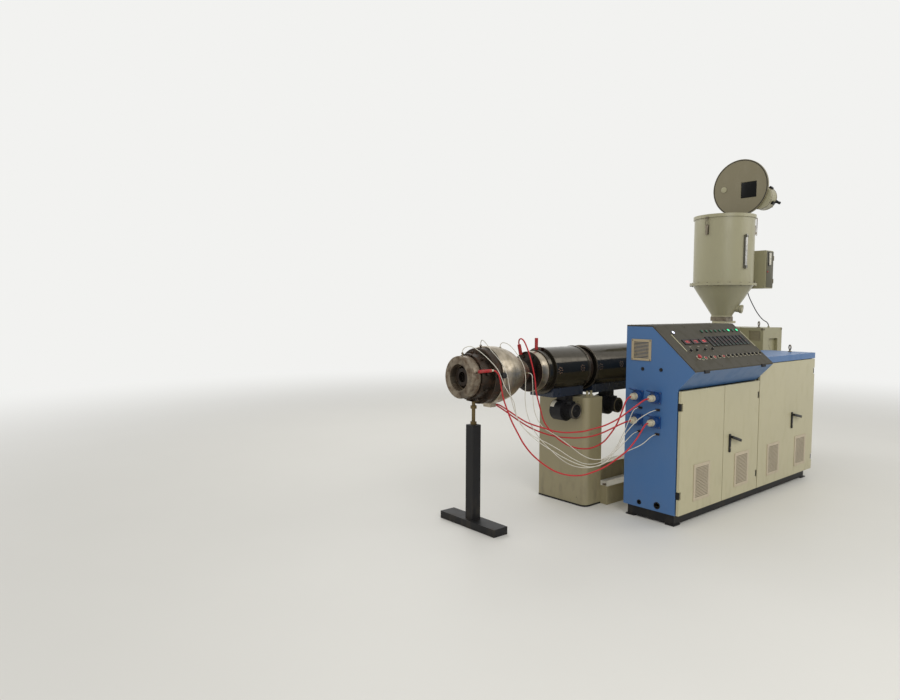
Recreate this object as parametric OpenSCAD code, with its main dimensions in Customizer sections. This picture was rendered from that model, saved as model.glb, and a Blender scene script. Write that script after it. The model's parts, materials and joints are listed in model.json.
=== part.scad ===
// Single-screw pipe extruder: operator cabinet, machine base, covered barrel, die head, hopper dryer.
// Millimetres. +X runs along the barrel from the die to the drive, +Y into the machine, +Z up.
// The working frame has x = 0 at the console's end panel and y = 0 at the cabinet's front plane;
// in_frame() moves it so that the origin is the middle of the footprint, on the floor.

/* [Barrel line] */
// height of the barrel's centre line above the floor
barrel_h = 1000; // [900:5:1100]
// from the cabinet's front plane back to the barrel's centre line
barrel_y = 880; // [820:5:960]
// outer radius of the round barrel covers
cover_r = 165; // [140:5:190]
// outer radius of the bare barrel
barrel_r = 75; // [60:5:90]
// hopper centre line, measured from the console's end panel
feed_x = 2230; // [2200:5:2300]

/* [Operator cabinet] */
// length of the whole cabinet
cab_l = 2110; // [2050:10:2200]
// length of the raised console part
console_l = 1100; // [1060:10:1140]
// depth of the cabinet
cab_d = 400; // [360:10:440]
// height of the console's flat top
console_h = 1335; // [1300:5:1370]
// height of the motor section's top
motor_h = 1080; // [1060:5:1100]
// height of the black plinth
plinth_h = 78; // [60:2:100]
// how far the console's nose stands in front of the cabinet
nose = 120; // [90:5:150]
// height of the console's nose
nose_h = 1050; // [1030:5:1070]
// height where the fascia meets the doors
fascia_h = 913; // [890:1:930]
// depth of the console's flat top
flat_top = 200; // [170:5:230]
// height of the blue strip above the right-hand door
strip_h = 47; // [40:1:60]
// thickness of the cabinet's walls as modelled
wall = 20; // [15:1:25]

/* [Doors] */
// door thickness
door_t = 18; // [16:1:22]
// gap between the doors' backs and the cabinet's front
door_back = 9; // [8:1:12]
// gap between neighbouring door edges
door_gap = 6; // [6:0.5:10]
// split between the left and middle door, from the end panel
door_split = 570; // [530:5:610]

/* [Die head] */
// front face of the die, measured back from the console's end panel
die_face = 1132; // [1080:2:1180]
// largest radius of the die cone
cone_r = 195; // [180:5:205]
// radius of the face ring
bush_r = 138; // [125:1:150]
// radius of the opening in the face ring
mouth_r = 86; // [78:1:92]

/* [Stand and base] */
// from the barrel's centre line down to the stand's top
stand_drop = 200; // [180:5:230]
// height of the low base frame
base_h = 138; // [110:2:160]
// from the barrel's centre line down to the top of the drive base
drive_drop = 300; // [270:5:340]
// from the barrel's centre line up to the gearbox cover's top
gear_rise = 268; // [240:2:300]
// length of the gearbox cover
gear_l = 400; // [370:5:430]
// length of the drive base behind the gearbox cover's front
drive_tail = 450; // [440:5:480]

/* [Hopper dryer] */
// radius of the hopper's cylinder
hopper_r = 270; // [250:5:280]
// height of the hopper's cylinder
can_h = 650; // [620:5:700]
// height of the hopper's cone
funnel_h = 308; // [280:2:340]
// from the barrel's centre line up to the hopper's outlet
outlet_rise = 372; // [350:2:400]

/* [Hidden] */
$fn = 48;
x_lo = -die_face;
gear_x0 = feed_x + 220;
gear_x1 = gear_x0 + gear_l;
x_hi = gear_x0 + drive_tail;
y_lo = -(nose + 8);
gear_half = 305;
base_half = 285;
y_hi = barrel_y + gear_half;
stand_h = barrel_h - stand_drop;
drive_h = barrel_h - drive_drop;
gear_h = barrel_h + gear_rise;
outlet_h = barrel_h + outlet_rise;
cone_top_h = outlet_h + funnel_h;
rim_h = cone_top_h + can_h;
slope_a = atan2(console_h - nose_h, flat_top + nose);
plate_t = 10;
door_front = -(door_back + door_t);
hinge_y = -(door_back + door_t / 2);
hinge_in = door_t / 2;
door_z0 = plinth_h + 4;
door_z1 = fascia_h - 5;
right_z1 = motor_h - strip_h - 5;
door_r0 = console_l + door_gap;
door_r1 = cab_l - 3;
louvre_w = 212;
louvre_z0 = 150;
louvre_h = 250;
louvre_z1 = louvre_z0 + louvre_h;
grille_z = console_h - 241;
grille_h = 145;
knuckle_r = 8;
knuckle_h = 42;
pin_r = 3;
pin_fit = 0.3;
pin_bite = 12;
lid_pin_r = 5;
hop_flange_r = hopper_r + 30;
lid_r = hopper_r + 5;
lid_t = 20;
rim_r = hopper_r + 10;
lid_axis_x = feed_x + rim_r + 10;
lid_axis_z = rim_h + 5 + lid_t / 2;
lid_reach = lid_axis_x - feed_x;
trough_drop = 188;
blow_r = 95;
blow_z = barrel_h - trough_drop - blow_r - 2;
post_x = -1000;
post_top = barrel_h - 320;
plug_l = 48;
skin = 6;
flange_r = 141;
band_r = 151;
groove_r = 150;
ring_r = cone_r - 10;
neck_r = 80;
seat = 0.3;
box_x0 = feed_x + hopper_r + 3;
box_x1 = box_x0 + 157;
box_y0 = barrel_y - 280;
box_z0 = cone_top_h - 32;
box_h = 362;
glass_z = cone_top_h + 147;
glass_h = 303;

// supply leads as [x, y, z] from the tip in its seat to the plug: three to the die, one to a flange,
// four probe wires and the dryer's lead
heater_d = 10;
probe_d = 5;
dryer_d = 9;
sleeve_route = [[-1011.7, 704, 1050], [-998, 702, 1050], [-982, 694, 1045], [-967, 682, 1025],
    [-957, 675, 985], [-948, 674, 935], [-930, 674, 870], [-905, 666, 800], [-880, 650, 725],
    [-840, 630, 640], [-805, 605, 565], [-760, 570, 495], [-705, 525, 435], [-650, 475, 390],
    [-585, 425, 365], [-510, 375, 360], [-440, 330, 380], [-370, 285, 415], [-310, 240, 465],
    [-255, 200, 520], [-200, 175, 585], [-150, 160, 652], [-118, 159, 680], [-92.3, 158, 685]];
cone_upper_route = [[-829.7, 862, 800], [-800, 861, 797], [-765, 850, 780], [-705, 820, 735],
    [-665, 785, 700], [-630, 740, 670], [-595, 685, 650], [-560, 635, 635], [-520, 585, 620],
    [-480, 535, 615], [-440, 485, 620], [-405, 435, 630], [-375, 385, 650], [-345, 335, 670],
    [-315, 285, 700], [-285, 240, 735], [-245, 205, 775], [-195, 175, 815], [-145, 160, 843],
    [-115, 158, 849], [-92.3, 158, 850]];
cone_lower_route = [[-829.7, 898, 800], [-800, 898, 796], [-765, 889, 777], [-710, 868, 738],
    [-670, 840, 702], [-640, 805, 672], [-605, 765, 640], [-570, 725, 615], [-530, 690, 595],
    [-495, 645, 580], [-460, 600, 572], [-425, 555, 570], [-395, 510, 572], [-360, 460, 580],
    [-325, 420, 592], [-290, 380, 612], [-245, 345, 638], [-190, 315, 665], [-145, 297, 681],
    [-115, 295, 685], [-92.3, 295, 685]];
flange_route = [[-525.1, 930, 1190.3], [-530, 928, 1208], [-538, 914, 1226], [-545, 889, 1233],
    [-549, 861, 1219], [-550, 836, 1185], [-545, 818, 1140], [-540, 798, 1080], [-528, 786, 1010],
    [-512, 784, 940], [-498, 788, 870], [-484, 778, 800], [-470, 765, 730], [-460, 745, 660],
    [-435, 705, 595], [-405, 655, 540], [-365, 595, 500], [-320, 530, 485], [-275, 470, 495],
    [-230, 415, 535], [-205, 370, 600], [-185, 335, 670], [-170, 310, 750], [-146, 298, 818],
    [-119, 295, 844], [-92.3, 295, 850]];
face_probe_route = [[-1100, 880, 1160.3], [-1099, 877, 1176], [-1090, 859, 1194], [-1069, 823, 1198],
    [-1038, 768, 1162], [-1003, 718, 1108], [-974, 683, 1056], [-958, 665, 1005], [-938, 655, 950],
    [-895, 655, 895], [-835, 672, 835], [-780, 700, 740], [-715, 697, 650], [-635, 672, 585],
    [-560, 625, 540], [-490, 575, 490], [-425, 520, 435], [-365, 460, 400], [-295, 400, 405],
    [-230, 350, 455], [-160, 305, 530], [-98, 281, 586], [-56, 278, 603], [-26.3, 278, 605]];
ring_probe_route = [[-940, 880, 1205.3], [-941, 877, 1221], [-948, 859, 1236], [-957, 820, 1224],
    [-956, 765, 1176], [-938, 722, 1128], [-915, 694, 1078], [-899, 681, 1032], [-884, 677, 985],
    [-864, 682, 915], [-838, 690, 845], [-790, 685, 730], [-725, 662, 635], [-650, 620, 560],
    [-575, 570, 500], [-500, 515, 445], [-430, 450, 405], [-380, 385, 395], [-320, 320, 430],
    [-265, 270, 530], [-215, 240, 625], [-155, 200, 705], [-102, 158, 752], [-58, 142, 768],
    [-26.3, 141, 770]];
cone_top_probe_route = [[-760, 880, 1186.3], [-759, 877, 1201], [-749, 861, 1213], [-720, 826, 1194],
    [-690, 783, 1132], [-666, 752, 1062], [-648, 748, 985], [-638, 757, 900], [-630, 765, 815],
    [-620, 752, 720], [-600, 722, 635], [-565, 678, 555], [-525, 625, 490], [-475, 570, 425],
    [-425, 505, 385], [-360, 440, 375], [-300, 385, 395], [-235, 330, 435], [-175, 262, 490],
    [-115, 190, 540], [-76, 147, 592], [-50, 141, 603], [-26.3, 141, 605]];
cone_side_probe_route = [[-600, 761.7, 1004], [-599, 748, 1003], [-594, 737, 986], [-587, 739, 940],
    [-585, 737, 880], [-586, 732, 810], [-581, 720, 738], [-564, 702, 680], [-540, 672, 632],
    [-505, 632, 600], [-462, 585, 560], [-420, 535, 512], [-375, 475, 458], [-325, 410, 432],
    [-270, 352, 450], [-220, 312, 520], [-170, 292, 610], [-120, 282, 700], [-84, 279, 753],
    [-53, 278, 768], [-26.3, 278, 770]];
dryer_route = [[2545, 785, 1635.7], [2546, 784, 1612], [2553, 777, 1578], [2568, 762, 1530],
    [2588, 742, 1475], [2610, 720, 1420], [2635, 695, 1372], [2660, 671, 1338], [2679, 655, 1324],
    [2693, 644, 1305], [2700, 640, 1282.3]];

module in_frame() {
    translate([-(x_lo + x_hi) / 2, -(y_lo + y_hi) / 2, 0]) children();
}

// box between two corners, given as pairs along each axis
module block(xs, ys, zs) {
    translate([xs[0], ys[0], zs[0]]) cube([xs[1] - xs[0], ys[1] - ys[0], zs[1] - zs[0]]);
}

// round bar along X on the barrel's centre line
module bar(x0, x1, r, fn = 64) {
    translate([x0, barrel_y, barrel_h]) rotate([0, 90, 0]) cylinder(h = x1 - x0, r = r, $fn = fn);
}

// round rod between two points
module rod(p, q, r) {
    d = q - p;
    translate(p) rotate([0, acos(d[2] / norm(d)), atan2(d[1], d[0])]) cylinder(h = norm(d), r = r,
        $fn = 32);
}

// stud standing out from the barrel's centre line at an angle from +Y
module stud(x, a, r0, r1, r) {
    translate([x, barrel_y, barrel_h]) rotate([a - 90, 0, 0]) translate([0, 0, r0])
        cylinder(h = r1 - r0, r = r, $fn = 32);
}

// a point on the smooth curve through a lead's route: span i, share t of the way along it
function between(p, i, t) = let(a = p[max(i - 1, 0)], b = p[i], c = p[i + 1], d = p[min(i + 2, len(p) - 1)])
    0.5 * (2 * b + (c - a) * t + (2 * a - 5 * b + 4 * c - d) * t * t + (3 * b - a - 3 * c + d) * t * t * t);
function unit(v) = v / norm(v);
function way(p, per) = [for (i = [0:len(p) - 2]) for (k = [0:per - 1]) between(p, i, k / per),
    p[len(p) - 1]];
function heading(w, i) = unit(w[min(i + 1, len(w) - 1)] - w[max(i - 1, 0)]);

// round tube swept along a route, with flat ends; up is any direction that the route never takes
module lead(route, dia, per = 3, sides = 8, up = [0.3, -0.2, 0.933]) {
    w = way(route, per);
    n = len(w);
    rings = [for (i = [0:n - 1]) let(h = heading(w, i), u = unit(cross(up, h)), v = cross(h, u))
        for (k = [0:sides - 1]) w[i] + dia / 2 * (cos(360 * k / sides) * u + sin(360 * k / sides) * v)];
    walls = [for (i = [0:n - 2]) for (k = [0:sides - 1])
        [i * sides + k, i * sides + (k + 1) % sides, (i + 1) * sides + (k + 1) % sides,
            (i + 1) * sides + k]];
    ends = [[for (k = [sides - 1:-1:0]) k], [for (k = [0:sides - 1]) (n - 1) * sides + k]];
    polyhedron(points = rings, faces = concat([for (f = walls) [f[3], f[2], f[1], f[0]]],
        [for (f = ends) [for (k = [len(f) - 1:-1:0]) f[k]]]));
}

// round bar along Y
module bar_y(x, z, y0, y1, r) {
    translate([x, y1, z]) rotate([90, 0, 0]) cylinder(h = y1 - y0, r = r);
}

// a piece on the sloping panel: x along the machine, v up the slope from the nose
module on_slope(x, v) {
    translate([x, -nose, nose_h]) rotate([slope_a, 0, 0]) translate([0, v, 0]) children();
}

// the console's section, in a plane across the machine
module section(x0, x1, pts) {
    translate([x0, 0, 0]) rotate([90, 0, 90]) linear_extrude(height = x1 - x0) polygon(pts);
}

module cabinet_plinth() {
    color([0.05, 0.05, 0.05]) in_frame() union() {
        difference() {
            block([25, cab_l - 35], [20, cab_d - 20], [8, plinth_h]);
            block([85, cab_l - 95], [80, cab_d - 80], [0, plinth_h + 1]);
        }
        for (x = [15, cab_l - 95])
            for (y = [10, cab_d - 80])
                block([x, x + 80], [y, y + 70], [0, 8]);
    }
}

module cabinet_body() {
    color([0.75, 0.71, 0.58]) in_frame() union() {
        block([wall, cab_l], [0, cab_d], [plinth_h, plinth_h + 15]);
        block([wall, cab_l], [cab_d - 15, cab_d], [plinth_h, fascia_h]);
        block([console_l, cab_l], [cab_d - 15, cab_d], [plinth_h, motor_h - strip_h]);
        block([console_l - 20, console_l], [0, cab_d], [plinth_h, fascia_h]);
        block([cab_l - wall, cab_l], [0, cab_d], [plinth_h, motor_h - strip_h]);
        for (x = [60, door_split + 20]) rear_panel(x, x + door_split - 120, plinth_h + 60, fascia_h - 60);
        rear_panel(console_l + 50, cab_l - 50, plinth_h + 60, motor_h - strip_h - 60);
    }
}

// screwed-on rear panel with a row of blind vent slots
module rear_panel(x0, x1, z0, z1) {
    difference() {
        block([x0, x1], [cab_d - 1, cab_d + 3], [z0, z1]);
        for (i = [0:7]) block([x0 + 60, x1 - 60], [cab_d + 1, cab_d + 4], [z1 - 120 + 12 * i,
            z1 - 115 + 12 * i]);
    }
}

module console_end_panel() {
    color([0.10, 0.30, 0.62]) in_frame() difference() {
        section(0, wall, [[0, plinth_h], [cab_d, plinth_h], [cab_d, console_h - plate_t],
            [flat_top, console_h - plate_t], [-nose, nose_h - plate_t], [0, fascia_h]]);
        block([-1, wall + 1], [218, 342], [grille_z + 14, grille_z + grille_h - 14]);
        for (p = [[267, nose_h - 13, 8], [126, nose_h - 10, 8], [272, plinth_h + 34, 13], [133,
            plinth_h + 40, 20]])
            translate([-1, p[0], p[1]]) rotate([0, 90, 0]) cylinder(h = wall + 2, r = p[2]);
    }
}

module console_shell() {
    color([0.10, 0.30, 0.62]) in_frame()
        section(wall, console_l, [[0, fascia_h], [cab_d, fascia_h], [cab_d, console_h - plate_t],
            [flat_top, console_h - plate_t], [-nose, nose_h - plate_t]]);
}

module motor_section_top() {
    color([0.10, 0.30, 0.62]) in_frame()
        block([console_l, cab_l], [door_front, cab_d], [motor_h - strip_h, motor_h]);
}

module control_panel() {
    color([0.17, 0.15, 0.13]) in_frame()
        section(0, console_l, [[-nose, nose_h], [flat_top, console_h], [cab_d, console_h],
            [cab_d, console_h - plate_t], [flat_top, console_h - plate_t], [-nose, nose_h - plate_t]]);
}

module panel_trim_strips() {
    color([0.75, 0.71, 0.58]) in_frame() {
        on_slope(110, 172) cube([8, 162, 3]);
        on_slope(console_l - 18, 176) cube([8, 162, 3]);
    }
}

module panel_instruments() {
    color([0.02, 0.02, 0.02]) in_frame() {
        for (i = [0:8]) on_slope(530 + 64 * i, 360) cylinder(h = 8, r = 12, $fn = 24);
        on_slope(156, 359) cylinder(h = 10, r = 14, $fn = 24);
        for (i = [0:9]) on_slope(490 + 56 * i, 205) cube([26, 96, 6]);
        for (i = [0:2]) on_slope(190 + 102 * i, 240) cube([84, 44, 6]);
    }
}

module panel_switches() {
    color([0.02, 0.02, 0.02]) in_frame() {
        for (x = [174, 252, 344, 456]) on_slope(x, 181) cylinder(h = 18, r = 11, $fn = 24);
        for (i = [0:14]) on_slope(267 + 55 * i, 112) cylinder(h = 16, r = 12, $fn = 24);
    }
}

module emergency_stop() {
    color([0.55, 0.02, 0.02]) in_frame() on_slope(184, 113) union() {
        cylinder(h = 14, r = 12, $fn = 24);
        translate([0, 0, 14]) cylinder(h = 14, r = 22, $fn = 32);
    }
}

module panel_clips() {
    color([0.03, 0.03, 0.03]) in_frame()
        for (x = [110, 910]) block([x, x + 60], [-nose - 8, -nose], [nose_h - 22, nose_h]);
}

// door leaf between two edges; hinge side is 0 for left and 1 for right
module leaf(x0, x1, z0, z1, side, hinge_zs, louvre_xs) {
    hx = side == 0 ? [x0 - 1, x0 + hinge_in + knuckle_r + 7] : [x1 - hinge_in - knuckle_r - 7, x1 + 1];
    difference() {
        block([x0, x1], [door_front, -door_back], [z0, z1]);
        for (z = hinge_zs)
            block(hx, [door_front - 1, 0], [z - knuckle_h / 2 - 5, z + knuckle_h / 2 + 5]);
        for (x = louvre_xs)
            block([x + 16, x + louvre_w - 16], [door_front - 1, 0], [louvre_z0 + 16, louvre_z1 - 16]);
        for (z = hinge_zs)
            translate([side == 0 ? x0 + hinge_in : x1 - hinge_in, hinge_y, z])
                cylinder(h = knuckle_h + 2 * (6 + pin_bite), r = pin_r + pin_fit, center = true, $fn = 24);
    }
}

module door_left() {
    color([0.75, 0.71, 0.58]) in_frame()
        leaf(0, door_split - door_gap / 2, door_z0, door_z1, 0, [215, 803], [178]);
}

module door_mid() {
    color([0.75, 0.71, 0.58]) in_frame()
        leaf(door_split + door_gap / 2, console_l - door_gap / 2, door_z0, door_z1, 1, [200, 800], [742]);
}

module door_right() {
    color([0.75, 0.71, 0.58]) in_frame()
        leaf(door_r0, door_r1, door_z0, right_z1, 1, [184, 925], [1258, 1756]);
}

// door handle: an upright plate with a lever across its top
module handle(x, z0) {
    union() {
        block([x - 12, x + 12], [door_front - 8, door_front], [z0, z0 + 132]);
        bar_y(x, z0 + 100, door_front - 24, door_front - 8, 9);
        block([x - 12, x + 140], [door_front - 34, door_front - 24], [z0 + 88, z0 + 112]);
    }
}

module door_mid_handle() {
    color([0.02, 0.02, 0.02]) in_frame() handle(658, 421);
}

module door_right_handle() {
    color([0.02, 0.02, 0.02]) in_frame() handle(1684, 478);
}

// vent plate with a stack of narrow slots
module louvre(x, pitch = 10.5, slot = 4, edge = 22) {
    difference() {
        block([x, x + louvre_w], [door_front - 4, door_front], [louvre_z0, louvre_z1]);
        for (z = [louvre_z0 + edge:pitch:louvre_z1 - edge - slot])
            block([x + edge, x + louvre_w - edge], [door_front - 5, door_front + 1], [z, z + slot]);
    }
}

module door_left_louvre() {
    color([0.62, 0.52, 0.46]) in_frame() louvre(178);
}

module door_mid_louvre() {
    color([0.62, 0.52, 0.46]) in_frame() louvre(742);
}

module door_right_louvres() {
    color([0.62, 0.52, 0.46]) in_frame() {
        louvre(1258);
        louvre(1756);
    }
}

// hinge knuckle on a vertical axis with a leaf back to the cabinet's front
module knuckle(x, z) {
    union() {
        translate([x, hinge_y, z - knuckle_h / 2]) cylinder(h = knuckle_h, r = knuckle_r, $fn = 32);
        translate([x, hinge_y, z])
            cylinder(h = knuckle_h + 2 * (5 + pin_bite), r = pin_r, center = true, $fn = 24);
        block([x - 6, x + 6], [hinge_y, 0], [z - knuckle_h / 2, z + knuckle_h / 2]);
    }
}

module door_hinges() {
    color([0.02, 0.02, 0.02]) in_frame() {
        for (z = [215, 803]) knuckle(hinge_in, z);
        for (z = [200, 800]) knuckle(console_l - door_gap / 2 - hinge_in, z);
        for (z = [184, 925]) knuckle(door_r1 - hinge_in, z);
    }
}

module end_vent_grille() {
    color([0.60, 0.52, 0.40]) in_frame() difference() {
        block([-6, 0], [203, 357], [grille_z, grille_z + grille_h]);
        for (z = [grille_z + 17:9.5:grille_z + grille_h - 20])
            block([-7, 1], [222, 338], [z, z + 5]);
    }
}

sock = [[158, 850], [295, 850], [158, 685], [295, 685]];

// flanged wall socket: square plate, round collar and its sprung cap held open by the plug
module wall_socket(y, z) {
    union() {
        block([-10, 0], [y - 40, y + 40], [z - 40, z + 40]);
        translate([-44, y, z]) rotate([0, 90, 0]) cylinder(h = 35, r = 31);
        translate([-44, y, z]) rotate([0, 90, 0]) cylinder(h = 7, r = 34);
        block([-44, -34], [y - 10, y + 10], [z + 30, z + 42]);
        translate([-38, y, z + 37]) rotate([0, 18, 0]) translate([-30, 0, 0]) cylinder(h = 5, r = 30);
    }
}

module power_sockets() {
    color([0.05, 0.16, 0.42]) in_frame() for (s = sock) wall_socket(s[0], s[1]);
}

module power_plugs() {
    color([0.80, 0.76, 0.66]) in_frame()
        for (s = sock) translate([-44, s[0], s[1]]) rotate([0, -90, 0]) rotate_extrude($fn = 48)
            polygon([[0, 0], [24, 0], [24, 6], [22, 8], [22, 30], [19, 36], [14, 39], [14, plug_l], [0,
                plug_l]]);
}

module probe_sockets() {
    color([0.30, 0.22, 0.14]) in_frame()
        for (s = sock) union() {
            block([-8, 0], [s[0] - 32, s[0] - 2], [s[1] - 87, s[1] - 73]);
            translate([-26, s[0] - 17, s[1] - 80]) rotate([0, 90, 0]) cylinder(h = 19, r = 5, $fn = 16);
        }
}

module machine_base() {
    color([0.66, 0.63, 0.48]) in_frame() union() {
        difference() {
            block([75, x_hi], [barrel_y - base_half, barrel_y + base_half], [0, base_h]);
            block([185, 1140], [barrel_y - 185, barrel_y + 185], [-1, base_h + 1]);
        }
        block([1250, x_hi], [barrel_y - base_half, barrel_y + base_half], [base_h - 1, drive_h]);
        for (x = [560, 1760]) block([x, x + 90], [cab_d - 20, barrel_y - base_half + 1], [12, 72]);
        for (x = [1300, 2100]) drive_panel(x, x + 720, base_h + 60, drive_h - 60);
    }
}

// screwed-on cover on the far side of the drive base, with blind vent slots
module drive_panel(x0, x1, z0, z1) {
    y = barrel_y + base_half;
    difference() {
        block([x0, x1], [y - 1, y + 4], [z0, z1]);
        for (i = [0:9]) block([x0 + 90, x1 - 90], [y + 1, y + 5], [z0 + 80 + 20 * i, z0 + 88 + 20 * i]);
    }
}

module barrel_stand() {
    color([0.66, 0.63, 0.48]) in_frame() union() {
        translate([-105, barrel_y - 225, 0]) linear_extrude(height = stand_h) union() {
            translate([45, 0]) square([135, 450]);
            translate([0, 45]) square([60, 405]);
            translate([45, 45]) circle(r = 45);
        }
        for (x = [0, 45]) {
            translate([x, barrel_y - 145, stand_h - 1]) cylinder(h = 14, r = 15, $fn = 6);
            translate([x, barrel_y - 145, stand_h]) cylinder(h = 38, r = 9, $fn = 32);
        }
    }
}

module gearbox_cover() {
    color([0.72, 0.68, 0.54]) in_frame() difference() {
        union() {
            block([gear_x0, gear_x1], [barrel_y - gear_half, barrel_y + gear_half], [drive_h, gear_h]);
            translate([gear_x0 + 250, barrel_y - 240, gear_h]) cylinder(h = 14, r = 9, $fn = 24);
        }
        block([gear_x0 - 1, gear_x0 + 12], [barrel_y - 276, barrel_y - 166], [gear_h - 125, gear_h - 32]);
        block([gear_x0 + 113, gear_x0 + 307], [barrel_y - gear_half - 1, barrel_y - gear_half + 30],
            [gear_h - 308, gear_h - 104]);
        bar(gear_x0 - 1, gear_x0 + 50, barrel_r + 1);
    }
}

// lifting eye standing on a top face
module eye_bolt(x, y, z) {
    translate([x, y, z]) union() {
        cylinder(h = 6, r = 16, $fn = 24);
        cylinder(h = 22, r = 7, $fn = 24);
        translate([0, 0, 38]) rotate([90, 0, 45]) rotate_extrude($fn = 32)
            translate([20, 0]) circle(r = 5, $fn = 16);
    }
}

module lifting_eye_bolts() {
    color([0.35, 0.33, 0.30]) in_frame() {
        eye_bolt(cab_l - 80, 150, motor_h);
        eye_bolt(gear_x0 + 100, barrel_y - 214, gear_h);
    }
}

module barrel() {
    color([0.30, 0.24, 0.18]) in_frame() bar(-420, gear_x0 + 50, barrel_r);
}

// sheet cover round the barrel with closed ends
module cover(x0, x1) {
    difference() {
        union() {
            bar(x0, x1, cover_r);
            for (x = [x0, x1 - 10]) bar(x, x + 10, cover_r + 4);
        }
        bar(x0 + 6, x1 - 6, cover_r - skin);
        bar(x0 - 1, x1 + 1, barrel_r + 1);
    }
}

module barrel_covers() {
    color([0.55, 0.55, 0.55]) in_frame() {
        cover(-366, 5);
        cover(95, feed_x - 110);
    }
}

module barrel_trough() {
    color([0.06, 0.10, 0.22]) in_frame() difference() {
        union() {
            block([-340, -5], [barrel_y - 110, barrel_y + 110], [barrel_h - trough_drop, barrel_h - 110]);
            block([105, feed_x - 130], [barrel_y - 110, barrel_y + 110], [barrel_h - trough_drop,
                barrel_h - 110]);
        }
        bar(-400, feed_x, cover_r + 0.5);
    }
}

module barrel_clamp_ring() {
    color([0.32, 0.27, 0.20]) in_frame() difference() {
        union() {
            bar(32, 66, 148);
            block([32, 66], [barrel_y - 40, barrel_y + 40], [stand_h, barrel_h - 100]);
        }
        bar(30, 70, barrel_r + 1);
    }
}

module end_heater_band() {
    color([0.50, 0.48, 0.45]) in_frame() difference() {
        bar(-420, -370, band_r);
        bar(-421, -369, barrel_r + 1);
    }
}

module barrel_flange() {
    color([0.10, 0.09, 0.08]) in_frame() union() {
        bar(-490, -420, flange_r);
        bar(572 - die_face, -489, neck_r);
        rod([-488, barrel_y + 50, barrel_h + 125], [-494.1, barrel_y + 50, barrel_h + 125], 6);
        for (a = [22.5:45:337.5]) translate([-498, barrel_y, barrel_h]) rotate([a, 0, 0])
            translate([0, 0, 112]) rotate([0, 90, 0]) cylinder(h = 9, r = 13, $fn = 6);
    }
}

// turned piece on the barrel line: pairs of distance from the die face and radius
module turned(pts, fn = 72) {
    translate([-die_face, barrel_y, barrel_h]) rotate([0, 90, 0])
        rotate_extrude($fn = fn) polygon([for (p = pts) [p[1], p[0]]]);
}

module die_cone() {
    color([0.42, 0.41, 0.39]) in_frame() union() {
        turned([[217, 0], [217, cone_r - 3], [220, cone_r], [290, cone_r - 3], [322, cone_r - 6], [382,
            cone_r - 21],
            [412, cone_r - 32], [442, cone_r - 48], [492, cone_r - 75], [532, 101], [556, 90], [572,
                neck_r + 5],
            [572, 0]]);
        stud(-760, 90, 160, 186, 6);
        stud(-600, 178, 94, 118, 6);
        block([-880, -830], [barrel_y - 35, barrel_y + 35], [barrel_h - 215, barrel_h - 180]);
    }
}

module die_ring() {
    color([0.30, 0.27, 0.24]) in_frame() union() {
        turned([[72, 0], [72, groove_r], [157, groove_r], [157, ring_r - 3], [160, ring_r], [209, ring_r],
            [209, ring_r - 4], [217, ring_r - 4], [217, 0]]);
        for (a = [15:30:345]) translate([-1068, barrel_y, barrel_h]) rotate([a, 0, 0])
            translate([0, 0, (bush_r + groove_r) / 2]) rotate([0, 90, 0]) cylinder(h = 9, r = 5.5,
                $fn = 24);
        for (a = [10:40:350]) stud(-1018, a, groove_r - 5, groove_r + 14, 11);
        stud(-940, 90, ring_r - 5, 205, 6);
        stud(-928, 175.5, ring_r - 5, 197, 9);
        stud(-928, 175.5, 196, 214, 19);
    }
}

module die_bush() {
    color([0.33, 0.24, 0.17]) in_frame() union() {
        turned([[0, mouth_r], [0, bush_r - 5], [5, bush_r], [66, bush_r], [66, bush_r - 4], [72,
            bush_r - 4],
            [72, mouth_r - 10], [52, mouth_r - 10], [52, mouth_r]]);
        stud(-1100, 90, bush_r - 6, 160, 5);
        stud(-1095, 164, bush_r - 6, 164.5, 6);
    }
}

module die_mandrel() {
    color([0.10, 0.09, 0.08]) in_frame()
        turned([[30, 34], [30, 58], [34, 62], [72, 62], [72, 0], [60, 0], [60, 34]], 48);
}

// heater plugs in their sleeves: one along the die ring, two on the flanges
module heater_terminal_covers() {
    color([0.55, 0.03, 0.03]) in_frame() {
        rod([-1110, barrel_y - 168, barrel_h + 48], [-1012, barrel_y - 176, barrel_h + 50], 11);
        rod([-507, barrel_y + 50, barrel_h + 120], [-525, barrel_y + 50, barrel_h + 190], 13);
        translate([-400, barrel_y, barrel_h + band_r + seat]) cylinder(h = 84, r = 12, $fn = 32);
    }
}

module die_post() {
    color([0.04, 0.04, 0.04]) in_frame() union() {
        block([post_x - 35, post_x + 35], [barrel_y - 35, barrel_y + 35], [49, post_top]);
        block([post_x - 60, post_x + 60], [barrel_y - 265, barrel_y + 265], [0, 50]);
    }
}

module jack_screw() {
    color([0.40, 0.33, 0.18]) in_frame() difference() {
        union() {
            translate([post_x, barrel_y, post_top]) cylinder(h = 160, r = 12, $fn = 24);
            for (z = [post_top, post_top + 106])
                translate([post_x, barrel_y, z]) cylinder(h = 20, r = 22, $fn = 6);
            block([post_x - 24, post_x + 15], [barrel_y - 45, barrel_y + 45], [barrel_h - 165,
                barrel_h - 128]);
        }
        bar(post_x - 50, post_x + 50, groove_r + 14.5);
    }
}

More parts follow.
